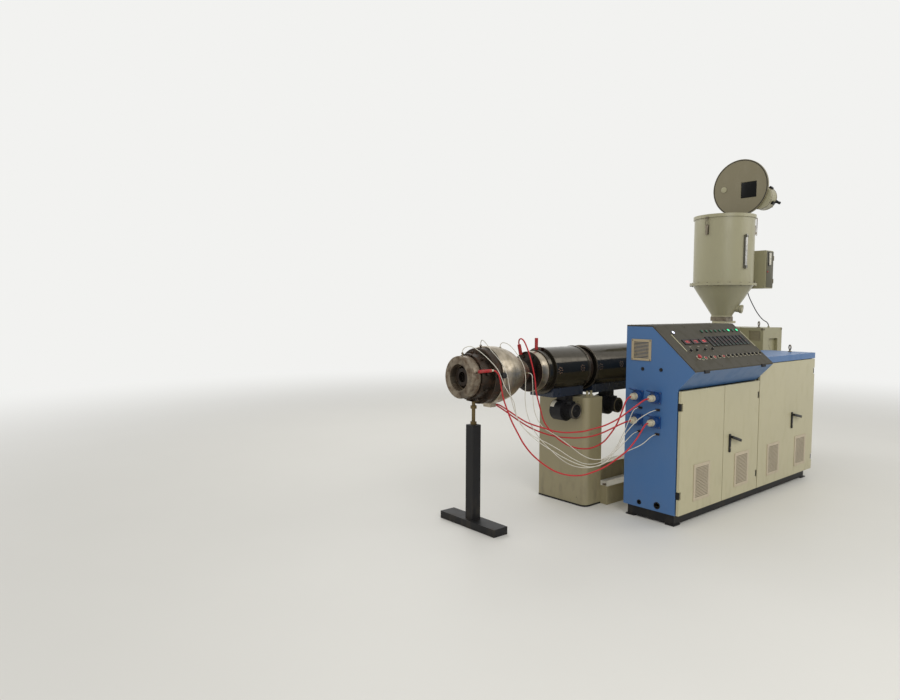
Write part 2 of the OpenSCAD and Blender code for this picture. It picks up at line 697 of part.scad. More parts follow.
// cooling fan: volute, inlet ring, motor in front of it and an outlet up to the trough
module blower(x) {
    y = barrel_y - 124;
    union() {
        translate([x, y + 100, blow_z]) rotate([90, 0, 0]) linear_extrude(height = 100)
            polygon([for (a = [0:10:350]) (blow_r - 28 * (1 - a / 360)) * [cos(a + 90), sin(a + 90)]]);
        block([x - 5, x + 78], [y + 10, y + 90], [blow_z, barrel_h - trough_drop]);
        bar_y(x, blow_z, y - 8, y + 1, 60);
        bar_y(x, blow_z, y - 70, y - 7, 48);
        bar_y(x, blow_z, y - 90, y - 69, 57);
        for (i = [0:3]) bar_y(x, blow_z, y - 22 - 12 * i, y - 18 - 12 * i, 54);
        block([x - 24, x + 24], [y - 60, y - 20], [blow_z + 40, blow_z + 66]);
    }
}

module cooling_blowers() {
    color([0.03, 0.03, 0.03]) in_frame() {
        blower(-205);
        blower(290);
    }
}

module feed_throat() {
    color([0.72, 0.68, 0.54]) in_frame() difference() {
        union() {
            block([feed_x - 105, feed_x + 105], [barrel_y - 105, barrel_y + 105], [barrel_h - 170,
                barrel_h + 170]);
            translate([feed_x, barrel_y, barrel_h + 169]) cylinder(h = outlet_h - 40 - barrel_h - 169,
                r = 62);
            block([feed_x - 70, feed_x + 160], [barrel_y - 60, barrel_y + 60], [outlet_h - 62,
                outlet_h - 40]);
            for (a = [45:90:315]) translate([feed_x, barrel_y, barrel_h + 169]) rotate([0, 0, a])
                translate([84, 0, 0]) cylinder(h = 12, r = 11, $fn = 6);
        }
        bar(feed_x - 106, feed_x + 106, barrel_r + 1);
    }
}

module slide_gate() {
    color([0.60, 0.58, 0.50]) in_frame()
        block([feed_x - 75, feed_x + 75], [barrel_y - 75, barrel_y + 75], [outlet_h - 40, outlet_h]);
}

// turned shell on the hopper's centre line: pairs of radius and height
module spun(pts) {
    translate([feed_x, barrel_y, 0]) rotate_extrude($fn = 96) polygon(pts);
}

module hopper_cone() {
    color([0.62, 0.60, 0.44]) in_frame() difference() {
        union() {
            spun([[0, outlet_h], [97, outlet_h], [97, outlet_h + 12], [92, outlet_h + 12], [hopper_r,
                cone_top_h - 11],
                [hop_flange_r, cone_top_h - 11], [hop_flange_r, cone_top_h], [0, cone_top_h]]);
            translate([feed_x, barrel_y, outlet_h + 100]) rotate([0, 98, -75]) {
                cylinder(h = 175, r = 34, $fn = 32);
                translate([0, 0, 165]) cylinder(h = 16, r = 40, $fn = 32);
            }
        }
        spun([[0, outlet_h - 1], [92 - skin, outlet_h - 1], [92 - skin, outlet_h + 14],
            [hopper_r - skin, cone_top_h - 11], [hopper_r - skin, cone_top_h + 1], [0, cone_top_h + 1]]);
    }
}

module hopper_cylinder() {
    color([0.62, 0.60, 0.44]) in_frame() union() {
        spun([[hop_flange_r, cone_top_h], [hop_flange_r, cone_top_h + 11], [hopper_r, cone_top_h + 11],
            [hopper_r, rim_h - 30], [rim_r, rim_h - 30], [rim_r, rim_h], [hopper_r - skin, rim_h],
            [hopper_r - skin, cone_top_h]]);
        block([lid_axis_x - 20, lid_axis_x + 14], [barrel_y - 46, barrel_y + 46], [rim_h - 28, rim_h - 4]);
        for (y = [barrel_y - 46, barrel_y + 34])
            block([lid_axis_x - 10, lid_axis_x + 14], [y, y + 12], [rim_h - 10, lid_axis_z + 12]);
        bar_y(lid_axis_x, lid_axis_z, barrel_y - 40, barrel_y + 40, lid_pin_r);
    }
}

module hopper_lid() {
    color([0.70, 0.68, 0.55]) in_frame() difference() {
        union() {
            translate([lid_axis_x - lid_t / 2, barrel_y, lid_axis_z + lid_reach]) rotate([0, 90, 0])
                cylinder(h = lid_t, r = lid_r, $fn = 96);
            block([lid_axis_x - 8, lid_axis_x + 8], [barrel_y - 28, barrel_y + 28], [lid_axis_z,
                lid_axis_z + 30]);
            bar_y(lid_axis_x, lid_axis_z, barrel_y - 28, barrel_y + 28, 10);
            translate([lid_axis_x - lid_t / 2 - 3, barrel_y + 161, lid_axis_z + lid_reach]) rotate([0,
                90, 0])
                cylinder(h = 4, r = 27, $fn = 48);
        }
        block([lid_axis_x - 11, lid_axis_x - 4], [barrel_y - 165, barrel_y - 10],
            [lid_axis_z + 185, lid_axis_z + 340]);
        bar_y(lid_axis_x, lid_axis_z, barrel_y - 29, barrel_y + 29, lid_pin_r + pin_fit);
    }
}

module lid_blower() {
    color([0.68, 0.66, 0.56]) in_frame() translate([lid_axis_x + lid_t / 2, barrel_y - 185,
        lid_axis_z + 180])
        rotate([0, 90, 0]) union() {
            cylinder(h = 130, r = 112);
            translate([0, 0, 129]) cylinder(h = 12, r1 = 112, r2 = 60);
            translate([0, 0, 140]) cylinder(h = 120, r = 52);
            translate([0, 0, 259]) cylinder(h = 24, r1 = 52, r2 = 30);
            block([48, 78], [-30, 30], [170, 230]);
            block([-78, -48], [-18, 18], [150, 200]);
        }
}

module sight_glass() {
    color([0.30, 0.28, 0.20]) in_frame() difference() {
        union() {
            block([feed_x - 110, feed_x - 78], [barrel_y - hopper_r + 6, barrel_y - hopper_r + 30],
                [glass_z, glass_z + glass_h]);
            for (z = [glass_z, glass_z + glass_h - 24])
                block([feed_x - 110, feed_x - 78], [barrel_y - hopper_r - 6, barrel_y - hopper_r + 20],
                    [z, z + 24]);
            translate([feed_x - 94, barrel_y - hopper_r + 6, glass_z + 2]) cylinder(h = glass_h - 4,
                r = 11, $fn = 32);
        }
        translate([feed_x, barrel_y, cone_top_h + 60]) cylinder(h = can_h, r = hopper_r + seat, $fn = 96);
    }
}

module dryer_control_box() {
    color([0.70, 0.68, 0.55]) in_frame() difference() {
        union() {
            block([box_x0, box_x1], [box_y0, box_y0 + 200], [box_z0, box_z0 + box_h]);
            block([box_x0 + 8, box_x1 - 8], [box_y0 - 4, box_y0 + 1], [box_z0 + 8, box_z0 + box_h - 8]);
            block([box_x0 - 43, box_x0 + 7], [box_y0 + 170, box_y0 + 200], [box_z0 + 62,
                box_z0 + box_h - 50]);
            translate([box_x0 + 42, box_y0 + 185, box_z0 - 12]) cylinder(h = 13, r = 9, $fn = 24);
        }
        translate([feed_x, barrel_y, box_z0 - 20]) cylinder(h = box_h + 50, r = hopper_r + seat, $fn = 96);
        translate([feed_x, barrel_y, box_z0 - 20]) cylinder(h = 76, r = hop_flange_r + 4, $fn = 96);
    }
}

// over-centre clip on the hopper's rim: plate, lever on its pivot, and a wire bail up to the catch
module latch() {
    union() {
        block([hopper_r - 8, hopper_r + 5], [-15, 15], [rim_h - 185, rim_h - 95]);
        block([hopper_r + 4, hopper_r + 16], [-9, 9], [rim_h - 172, rim_h - 158]);
        block([hopper_r + 12, hopper_r + 17], [-11, 11], [rim_h - 190, rim_h - 105]);
        for (y = [-11, 11]) translate([hopper_r + 14.5, y, rim_h - 130]) cylinder(h = 96, r = 3, $fn = 24);
        block([hopper_r + 10.5, hopper_r + 18], [-14, 14], [rim_h - 40, rim_h - 24]);
    }
}

module toggle_latches() {
    color([0.25, 0.24, 0.22]) in_frame() difference() {
        for (a = [175, 300, 60]) translate([feed_x, barrel_y, 0]) rotate([0, 0, a]) latch();
        translate([feed_x, barrel_y, cone_top_h + 60]) cylinder(h = can_h - 70, r = hopper_r + seat,
            $fn = 96);
    }
}

module heater_lead_sleeve() {
    color([0.60, 0.04, 0.05]) in_frame() lead(sleeve_route, heater_d);
}

module heater_lead_cone_upper() {
    color([0.60, 0.04, 0.05]) in_frame() lead(cone_upper_route, heater_d);
}

module heater_lead_cone_lower() {
    color([0.60, 0.04, 0.05]) in_frame() lead(cone_lower_route, heater_d);
}

module heater_lead_flange() {
    color([0.60, 0.04, 0.05]) in_frame() lead(flange_route, heater_d);
}

module probe_lead_face() {
    color([0.75, 0.74, 0.70]) in_frame() lead(face_probe_route, probe_d);
}

module probe_lead_ring() {
    color([0.75, 0.74, 0.70]) in_frame() lead(ring_probe_route, probe_d);
}

module probe_lead_cone_top() {
    color([0.75, 0.74, 0.70]) in_frame() lead(cone_top_probe_route, probe_d);
}

module probe_lead_cone_side() {
    color([0.75, 0.74, 0.70]) in_frame() lead(cone_side_probe_route, probe_d);
}

module dryer_supply_lead() {
    color([0.02, 0.02, 0.02]) in_frame() lead(dryer_route, dryer_d);
}
cabinet_plinth();
cabinet_body();
console_end_panel();
console_shell();
motor_section_top();
control_panel();
panel_trim_strips();
panel_instruments();
panel_switches();
emergency_stop();
panel_clips();
door_left();
door_mid();
door_right();
door_mid_handle();
door_right_handle();
door_left_louvre();
door_mid_louvre();
door_right_louvres();
door_hinges();
end_vent_grille();
power_sockets();
power_plugs();
probe_sockets();
machine_base();
barrel_stand();
gearbox_cover();
lifting_eye_bolts();
barrel();
barrel_covers();
barrel_trough();
barrel_clamp_ring();
end_heater_band();
barrel_flange();
die_cone();
die_ring();
die_bush();
die_mandrel();
heater_terminal_covers();
die_post();
jack_screw();
cooling_blowers();
feed_throat();
slide_gate();
hopper_cone();
hopper_cylinder();
hopper_lid();
lid_blower();
sight_glass();
dryer_control_box();
toggle_latches();
heater_lead_sleeve();
heater_lead_cone_upper();
heater_lead_cone_lower();
heater_lead_flange();
probe_lead_face();
probe_lead_ring();
probe_lead_cone_top();
probe_lead_cone_side();
dryer_supply_lead();
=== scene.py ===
"""Looks of the single-screw pipe extruder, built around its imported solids.

Lengths are metres in the row frame. Places on the machine are given in millimetres from its datum:
x along the barrel from the console's end panel, y back from the cabinet's front, z up from the floor.
"""
from __future__ import annotations

import json
import logging
import math
from dataclasses import dataclass
from enum import Enum
from typing import Iterable, Sequence

import bmesh
import bpy
from mathutils import Matrix, Vector

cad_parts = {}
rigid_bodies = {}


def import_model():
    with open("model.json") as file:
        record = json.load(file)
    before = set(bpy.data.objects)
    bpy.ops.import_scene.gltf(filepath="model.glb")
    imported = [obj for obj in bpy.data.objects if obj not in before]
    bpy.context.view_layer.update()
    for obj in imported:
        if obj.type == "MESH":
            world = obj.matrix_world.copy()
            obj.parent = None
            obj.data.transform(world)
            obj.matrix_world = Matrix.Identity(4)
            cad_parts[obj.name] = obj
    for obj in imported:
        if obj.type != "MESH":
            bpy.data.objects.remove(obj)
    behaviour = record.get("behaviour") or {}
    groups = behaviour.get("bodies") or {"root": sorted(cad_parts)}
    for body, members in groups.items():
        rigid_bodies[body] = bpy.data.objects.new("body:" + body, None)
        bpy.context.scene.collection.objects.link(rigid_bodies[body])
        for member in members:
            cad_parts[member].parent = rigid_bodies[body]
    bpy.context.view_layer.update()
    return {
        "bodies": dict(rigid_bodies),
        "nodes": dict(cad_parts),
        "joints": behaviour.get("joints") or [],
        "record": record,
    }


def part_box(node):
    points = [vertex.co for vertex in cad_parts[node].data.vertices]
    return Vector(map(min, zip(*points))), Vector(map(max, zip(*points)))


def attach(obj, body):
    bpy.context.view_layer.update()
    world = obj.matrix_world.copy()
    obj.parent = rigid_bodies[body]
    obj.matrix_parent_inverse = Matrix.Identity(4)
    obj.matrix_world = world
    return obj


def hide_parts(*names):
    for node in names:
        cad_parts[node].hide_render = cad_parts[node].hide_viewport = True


LOG = logging.getLogger("extruder")
MM = 0.001
Flat = tuple[float, float]
Point = tuple[float, float, float]
Socket = bpy.types.NodeSocket
QUARTERS = ((1, 1), (-1, 1), (-1, -1), (1, -1))


def linear(code: str) -> tuple[float, float, float, float]:
    """Turns an sRGB hex colour into linear light.

    Args:
        code: colour such as "#B8B08E".

    Returns:
        Linear red, green, blue and an alpha of 1.
    """
    parts = [int(code[i:i + 2], 16) / 255 for i in (1, 3, 5)]
    light = [c / 12.92 if c <= 0.04045 else ((c + 0.055) / 1.055) ** 2.4 for c in parts]
    return (light[0], light[1], light[2], 1.0)


def add_node(tree: bpy.types.NodeTree, kind: str, values: dict | None = None,
             links: dict | None = None, **settings: object) -> bpy.types.Node:
    """Adds one shader node with its settings, values and links.

    Args:
        tree: the material's node tree.
        kind: node type without its ShaderNode prefix.
        values: default values by input name or number.
        links: output sockets by input name or number.
        settings: node properties such as operation or blend_type; stops sets a colour ramp.

    Returns:
        The new node.
    """
    node = tree.nodes.new("ShaderNode" + kind)
    stops = settings.pop("stops", None)
    for name, value in settings.items():
        setattr(node, name, value)
    if stops:
        ramp = node.color_ramp
        while len(ramp.elements) < len(stops):
            ramp.elements.new(0.5)
        for element, (place, colour) in zip(ramp.elements, stops):
            element.position = place
            element.color = linear(colour)
    for name, value in (values or {}).items():
        node.inputs[name].default_value = value
    for name, source in (links or {}).items():
        tree.links.new(source, node.inputs[name])
    return node


class Surface:
    """A material being built: its tree, its Principled shader and the Object coordinates it reads."""

    def __init__(self, name: str) -> None:
        """Starts an empty material with one Principled shader.

        Args:
            name: the finish's name.
        """
        self.material = bpy.data.materials.new(name)
        self.material.use_nodes = True
        self.tree = self.material.node_tree
        self.tree.nodes.clear()
        self.shader = self.add("BsdfPrincipled")
        self.add("OutputMaterial", links={"Surface": self.shader.outputs[0]})
        self.place = self.add("TexCoord").outputs["Object"]

    def add(self, kind: str, values: dict | None = None, links: dict | None = None,
            **settings: object) -> bpy.types.Node:
        """Adds one node to this material, as add_node says."""
        return add_node(self.tree, kind, values, links, **settings)

    def speckle(self, size_mm: float, low: float, high: float, detail: float = 4.0,
                stretch: Point = (1.0, 1.0, 1.0)) -> Socket:
        """Makes a noise mask from 0 to 1.

        Args:
            size_mm: size of one blotch.
            low: noise value that gives 0.
            high: noise value that gives 1.
            detail: octaves of finer noise.
            stretch: how much longer a blotch is along each axis.

        Returns:
            The mask's socket.
        """
        spread = tuple(1.0 / (s * size_mm * MM) for s in stretch)
        where = self.add("Mapping", {"Scale": spread}, {"Vector": self.place}).outputs[0]
        noise = self.add("TexNoise", {"Scale": 1.0, "Detail": detail, "Roughness": 0.55}, {"Vector": where})
        span = {"From Min": low, "From Max": high}
        return self.add("MapRange", span, {"Value": noise.outputs["Fac"]}).outputs[0]

    def edges(self, width_mm: float) -> Socket:
        """Makes a mask that is 1 on sharp edges.

        Args:
            width_mm: how far the mask reaches from an edge.

        Returns:
            The mask's socket.
        """
        soft = self.add("Bevel", {"Radius": width_mm * MM}, samples=4).outputs[0]
        true = self.add("NewGeometry").outputs["Normal"]
        dot = self.add("VectorMath", links={0: soft, 1: true}, operation="DOT_PRODUCT").outputs["Value"]
        return self.add("MapRange", {"From Min": 0.985, "From Max": 0.86}, {"Value": dot}).outputs[0]

    def cover(self, below: Socket | str, above: str, share: float, *masks: Socket) -> Socket:
        """Lays a film of dirt, tint or wear over what is below it.

        Args:
            below: hex colour or socket of what is covered.
            above: hex colour of the film.
            share: how much of the film shows where every mask is 1.
            masks: where the film lies; they multiply.

        Returns:
            The covered colour's socket.
        """
        where = masks[0]
        for mask in masks[1:]:
            where = self.add("Math", links={0: where, 1: mask}, operation="MULTIPLY").outputs[0]
        film = self.add("Math", {1: share}, {0: where}, operation="MULTIPLY").outputs[0]
        colours, links = {7: linear(above)}, {"Factor": film}
        if isinstance(below, str):
            colours[6] = linear(below)
        else:
            links[6] = below
        return self.add("Mix", colours, links, data_type="RGBA").outputs[2]

    def relief(self, heights: Sequence[tuple[Socket, float]]) -> None:
        """Stacks bump layers and gives them to the shader.

        Args:
            heights: masks with the depth in millimetres of each.
        """
        normal = None
        for mask, depth_mm in heights:
            bump = self.add("Bump", {"Distance": depth_mm * MM, "Strength": 1.0}, {"Height": mask})
            if normal is not None:
                self.tree.links.new(normal, bump.inputs["Normal"])
            normal = bump.outputs[0]
        self.tree.links.new(normal, self.shader.inputs["Normal"])

    def rough(self, mask: Socket, low: float, high: float) -> None:
        """Varies roughness from low to high by a mask."""
        level = self.add("MapRange", {"To Min": low, "To Max": high}, {"Value": mask}).outputs[0]
        self.tree.links.new(level, self.shader.inputs["Roughness"])

    def colour(self, source: Socket) -> None:
        """Gives the shader its base colour."""
        self.tree.links.new(source, self.shader.inputs["Base Color"])

    def set(self, **values: object) -> None:
        """Sets plain values on the shader, underscores standing for spaces."""
        for name, value in values.items():
            self.shader.inputs[name.replace("_", " ")].default_value = value


@dataclass(frozen=True)
class Finish:
    """A surface finish that makes one material and hands it out again each time."""

    name: str
    slot: str
    colour: str

    def material(self) -> bpy.types.Material:
        """Gives this finish's material, made on first use."""
        found = bpy.data.materials.get(self.name)
        return found or self.make(Surface(self.name)).material

    def make(self, surface: Surface) -> Surface:
        """Builds the node tree; each kind of finish has its own."""
        raise NotImplementedError


@dataclass(frozen=True)
class SprayedEnamel(Finish):
    """Alkyd enamel sprayed on sheet steel: satin, a faint orange peel, dusty low down, rubbed edges."""

    primer: str = "#6E665A"
    dust: str = "#8B846F"
    gloss: float = 0.38
    wear: float = 0.5
    grime: float = 0.35
    ior: float = 1.45
    coat: float = 0.1
    floor_dirt: str = "#5B5243"

    def make(self, surface: Surface) -> Surface:
        """Builds the enamel."""
        drift = surface.speckle(420, 0.35, 0.7, 3)
        smear = surface.speckle(70, 0.5, 0.75, 6, (1, 1, 2.6))
        # peel of a few millimetres, drawn coarser than the real one so that it shows
        peel = surface.speckle(7, 0.3, 0.7, 2)
        chips = surface.speckle(16, 0.46, 0.6, 6)
        height = surface.add("SeparateXYZ", links={0: surface.place}).outputs["Z"]
        low = surface.add("MapRange", {"From Min": 0.32, "From Max": 0.0}, {"Value": height}).outputs[0]
        base = surface.cover(self.colour, self.dust, 0.10, drift)
        base = surface.cover(base, self.dust, self.grime * 0.5, smear)
        base = surface.cover(base, self.floor_dirt, self.grime * 1.4, low, smear)
        surface.colour(surface.cover(base, self.primer, self.wear, surface.edges(2.5), chips))
        surface.rough(smear, self.gloss, self.gloss + 0.18)
        surface.relief([(drift, 0.6), (peel, 0.05)])
        surface.set(IOR=self.ior, Coat_Weight=self.coat, Coat_Roughness=0.25)
        return surface


@dataclass(frozen=True)
class PolishedStainless(Finish):
    """Mirror-polished stainless sheet: sharp reflections that waver with the sheet, smudged by hands."""

    smudge: str = "#4B473F"
    metal: float = 1.0

    def make(self, surface: Surface) -> Surface:
        """Builds the polished sheet."""
        wave = surface.speckle(160, 0.3, 0.7, 2, (2.2, 1, 1))
        prints = surface.speckle(45, 0.45, 0.75, 7)
        hairlines = surface.speckle(2.4, 0.35, 0.65, 3, (1, 40, 40))
        surface.colour(surface.cover(self.colour, self.smudge, 0.35, prints))
        surface.rough(prints, 0.13, 0.30)
        surface.relief([(wave, 0.9), (hairlines, 0.01)])
        surface.set(Metallic=self.metal)
        return surface


@dataclass(frozen=True)
class TurnedSteel(Finish):
    """Tool steel turned on a lathe: fine rings around the barrel axis, straw heat tint and oil."""

    tint: str = "#7A6A50"
    oil: str = "#4A4238"
    rough: float = 0.30
    drawn: float = 0.6

    def make(self, surface: Surface) -> Surface:
        """Builds the turned steel."""
        # feed marks a few millimetres apart, drawn coarser than the real tenths so that they show
        rings = surface.speckle(3.2, 0.3, 0.7, 2, (1, 900, 900))
        bands = surface.speckle(26, 0.35, 0.7, 3, (1, 60, 60))
        blotch = surface.speckle(55, 0.45, 0.75, 6)
        base = surface.cover(self.colour, self.tint, 0.45, bands)
        surface.colour(surface.cover(base, self.oil, 0.6, blotch))
        surface.rough(blotch, self.rough, self.rough + 0.2)
        surface.relief([(rings, 0.03), (blotch, 0.02)])
        # the tool's rings run round the barrel, so a highlight is drawn out along it
        along = surface.add("CombineXYZ", {0: 1.0, 1: 0.01, 2: 0.01}).outputs[0]
        surface.tree.links.new(along, surface.shader.inputs["Tangent"])
        surface.set(Metallic=1.0, Anisotropic=self.drawn)
        return surface


@dataclass(frozen=True)
class OxidisedSteel(Finish):
    """Steel browned by heat and rust: patchy, mostly matt, bright where it is rubbed."""

    rust: str = "#6B4229"
    scale_colour: str = "#241F1B"
    rubbed: str = "#7F766A"
    rough: float = 0.5
    metal: float = 0.75

    def make(self, surface: Surface) -> Surface:
        """Builds the oxidised steel."""
        patches = surface.speckle(38, 0.42, 0.66, 6)
        grit = surface.speckle(5, 0.35, 0.7, 4)
        scale = surface.speckle(90, 0.5, 0.72, 4)
        base = surface.cover(self.colour, self.rust, 0.75, patches)
        base = surface.cover(base, self.scale_colour, 0.8, scale)
        surface.colour(surface.cover(base, self.rubbed, 0.3, surface.edges(2)))
        surface.rough(patches, self.rough - 0.12, self.rough + 0.25)
        surface.relief([(patches, 0.12), (grit, 0.08)])
        surface.set(Metallic=self.metal)
        return surface


@dataclass(frozen=True)
class MouldedPlastic(Finish):
    """Injection-moulded plastic: even colour, a soft sheen, faint grain and some dust."""

    gloss: float = 0.35
    dust: str = "#7C7668"
    ior: float = 1.45

    def make(self, surface: Surface) -> Surface:
        """Builds the plastic."""
        grain = surface.speckle(2.5, 0.3, 0.7, 2)
        film = surface.speckle(30, 0.5, 0.8, 5)
        surface.colour(surface.cover(self.colour, self.dust, 0.28, film))
        surface.rough(film, self.gloss, self.gloss + 0.25)
        surface.relief([(grain, 0.02)])
        surface.set(IOR=self.ior)
        return surface


@dataclass(frozen=True)
class CableJacket(Finish):
    """Cable jacket, silicone or glass braid: soft sheen with a fine woven or drawn texture."""

    weave_mm: float = 3.0
    depth_mm: float = 0.15
    gloss: float = 0.45
    soil: str = "#5A4A3E"

    def make(self, surface: Surface) -> Surface:
        """Builds the jacket."""
        weave = surface.speckle(self.weave_mm, 0.35, 0.65, 2)
        grime = surface.speckle(60, 0.5, 0.8, 4)
        surface.colour(surface.cover(self.colour, self.soil, 0.3, grime))
        surface.rough(weave, self.gloss, self.gloss + 0.15)
        surface.relief([(weave, self.depth_mm)])
        surface.set(IOR=1.43)
        return surface


@dataclass(frozen=True)
class LitLens(Finish):
    """Coloured acrylic lamp lens or display filter: smooth, a little wavy, lit from behind."""

    glow: float = 1.0
    coat: float = 0.6

    def make(self, surface: Surface) -> Surface:
        """Builds the lens."""
        tone = linear(self.colour)
        surface.set(Base_Color=tone, Emission_Color=tone, Emission_Strength=self.glow)
        surface.set(Roughness=0.3, IOR=1.3, Coat_Weight=self.coat)
        surface.relief([(surface.speckle(3, 0.3, 0.7, 1), 0.05)])
        return surface


CREAM = SprayedEnamel("cream_enamel", "cream_paint", "#B5AE8E", grime=0.12)
BLUE = SprayedEnamel("blue_enamel", "blue_paint", "#3C6698", primer="#8D97A3", dust="#6A7886", grime=0.08)
KHAKI = SprayedEnamel("base_enamel", "base_paint", "#938A6C", grime=0.45)
GEAR_COVER = SprayedEnamel("gear_cover_enamel", "cream_paint", "#948F6E", grime=0.4)
HOPPER = SprayedEnamel("hopper_enamel", "hopper_paint", "#9F9A7C", gloss=0.32, grime=0.25)
# Painted shade: the lid's paint is a darker copy of the hopper's paint, standing for the shade on the lid's
# face, with more dirt besides.
SHADED_LID = SprayedEnamel("shaded_lid_enamel", "hopper_paint", "#7B735A", gloss=0.38, grime=0.6)
BOX_DOOR = SprayedEnamel("box_door_enamel", "hopper_paint", "#504D3B", dust="#5E5946", gloss=0.5,
                         grime=0.3, ior=1.4)
BLACK = SprayedEnamel("black_enamel", "black_paint", "#0F0F12", primer="#4A4540", dust="#3B372F", gloss=0.5,
                      grime=0.25, ior=1.36, coat=0.0)
PANEL = SprayedEnamel("panel_enamel", "panel_plate", "#403C31", primer="#7A7464", dust="#4A463B", gloss=0.6,
                      wear=0.3, grime=0.15, ior=1.33, coat=0.0)
VENT = SprayedEnamel("vent_enamel", "louvre_paint", "#B9AC94", gloss=0.5, grime=0.2)
GRILLE = SprayedEnamel("grille_enamel", "louvre_paint", "#A4967A", gloss=0.55, grime=0.3)
TROUGH = SprayedEnamel("trough_enamel", "trough_paint", "#1D2636", primer="#55524C", dust="#3A3A3A",
                       gloss=0.22)
# Painted reflection: the polished covers' base colour is far darker than bare stainless, and their metal
# share stays below 1, so that they read as mirroring dark surroundings.
MIRROR = PolishedStainless("polished_stainless", "polished_cover", "#4B463D", smudge="#3A362E", metal=0.86)
CHROME = PolishedStainless("chrome", "turned_steel", "#B4B2AE")
TURNED = TurnedSteel("lathe_turned_steel", "turned_steel", "#B9AE9C", tint="#94866B", oil="#5F5648",
                     rough=0.28)
DULL_STEEL = TurnedSteel("dull_steel", "turned_steel", "#857E72", rough=0.45, drawn=0.0)
# Painted reflection: the tan and brown colours of the vent dimples stand for the reddish glints thrown back
# by the polished covers, not for a copper coating.
DIMPLE_REFLECTION = TurnedSteel("dimple_reflection_tan", "brass_nuts", "#9A7A66", tint="#7A4E3C", oil="#4A382E", rough=0.4,
                     drawn=0.0)
RUSTY = OxidisedSteel("heat_browned_steel", "rusty_steel", "#3B332B", rust="#4A3323")
BUSH_STEEL = OxidisedSteel("bush_steel", "rusty_steel", "#857A6A", rust="#5E4A38", scale_colour="#4A4138")
DARK_IRON = OxidisedSteel("dark_iron", "dark_steel", "#2F2A26", rust="#3A2A20", rough=0.45)
BRASS = TurnedSteel("brass", "brass_nuts", "#6F6246", tint="#574728", oil="#3C3222", rough=0.42, drawn=0.0)
BLACK_PLASTIC = MouldedPlastic("moulded_black", "black_plastic", "#0D0D0E", gloss=0.42, dust="#3A372F",
                               ior=1.38)
RED_PLASTIC = MouldedPlastic("moulded_red", "red_plastic", "#9C171B", gloss=0.32)
BLUE_PLASTIC = MouldedPlastic("moulded_blue", "blue_plastic", "#1B4178", dust="#3E4F66")
CREAM_PLASTIC = MouldedPlastic("moulded_cream", "cream_plastic", "#B9B19A")
WHITE_PLASTIC = MouldedPlastic("white_plastic", "cream_plastic", "#D5D0C0")
LABEL = MouldedPlastic("label_film", "cream_plastic", "#857F70", gloss=0.5)
SEAL = MouldedPlastic("rubber_seal", "black_plastic", "#2E2B22", gloss=0.6, ior=1.36)
WINDOW = MouldedPlastic("dark_window", "black_plastic", "#0B0C0B", gloss=0.3, dust="#171613", ior=1.22)
GREEN_LENS = LitLens("green_lens_lit", "cream_plastic", "#27D990", glow=1.0)
# Painted light: the unlit lenses, the meters' feet and the start button glow faintly although nothing lights
# them.
DIM_LENS = LitLens("green_lens_dim", "cream_plastic", "#12482F", glow=0.3, coat=0.1)
WHITE_LENS = LitLens("white_lens", "cream_plastic", "#DDE0F4", glow=1.3)
RED_DIGITS = LitLens("red_digits", "red_plastic", "#E0242A", glow=1.0)
RED_FILTER = LitLens("red_filter", "red_plastic", "#2C0708", glow=0.5, coat=0.0)
GLASS = MouldedPlastic("sight_glass_dusty", "sight_glass", "#4A4738", gloss=0.12)
RED_JACKET = CableJacket("red_silicone", "red_cable", "#B4252B")
WHITE_JACKET = CableJacket("white_braid", "white_cable", "#CFCBBE", weave_mm=2.0, depth_mm=0.3, gloss=0.6)
BLACK_JACKET = CableJacket("black_rubber", "black_cable", "#17171A")


class Side(Enum):
    """The way a piece faces, as its outward and upward directions."""

    FRONT = ((0, -1, 0), (0, 0, 1))
    END = ((-1, 0, 0), (0, 0, 1))
    BACK = ((0, 1, 0), (0, 0, 1))
    FAR = ((1, 0, 0), (0, 0, 1))
    TOP = ((0, 0, 1), (0, 1, 0))


class Stiffness(Enum):
    """How a lead bends."""

    LIMP = "limp"
    MEDIUM = "medium"


def arm(angle: float) -> Flat:
    """Gives the two parts of an arm one unit long, laid at an angle in degrees."""
    return math.cos(math.radians(angle)), math.sin(math.radians(angle))


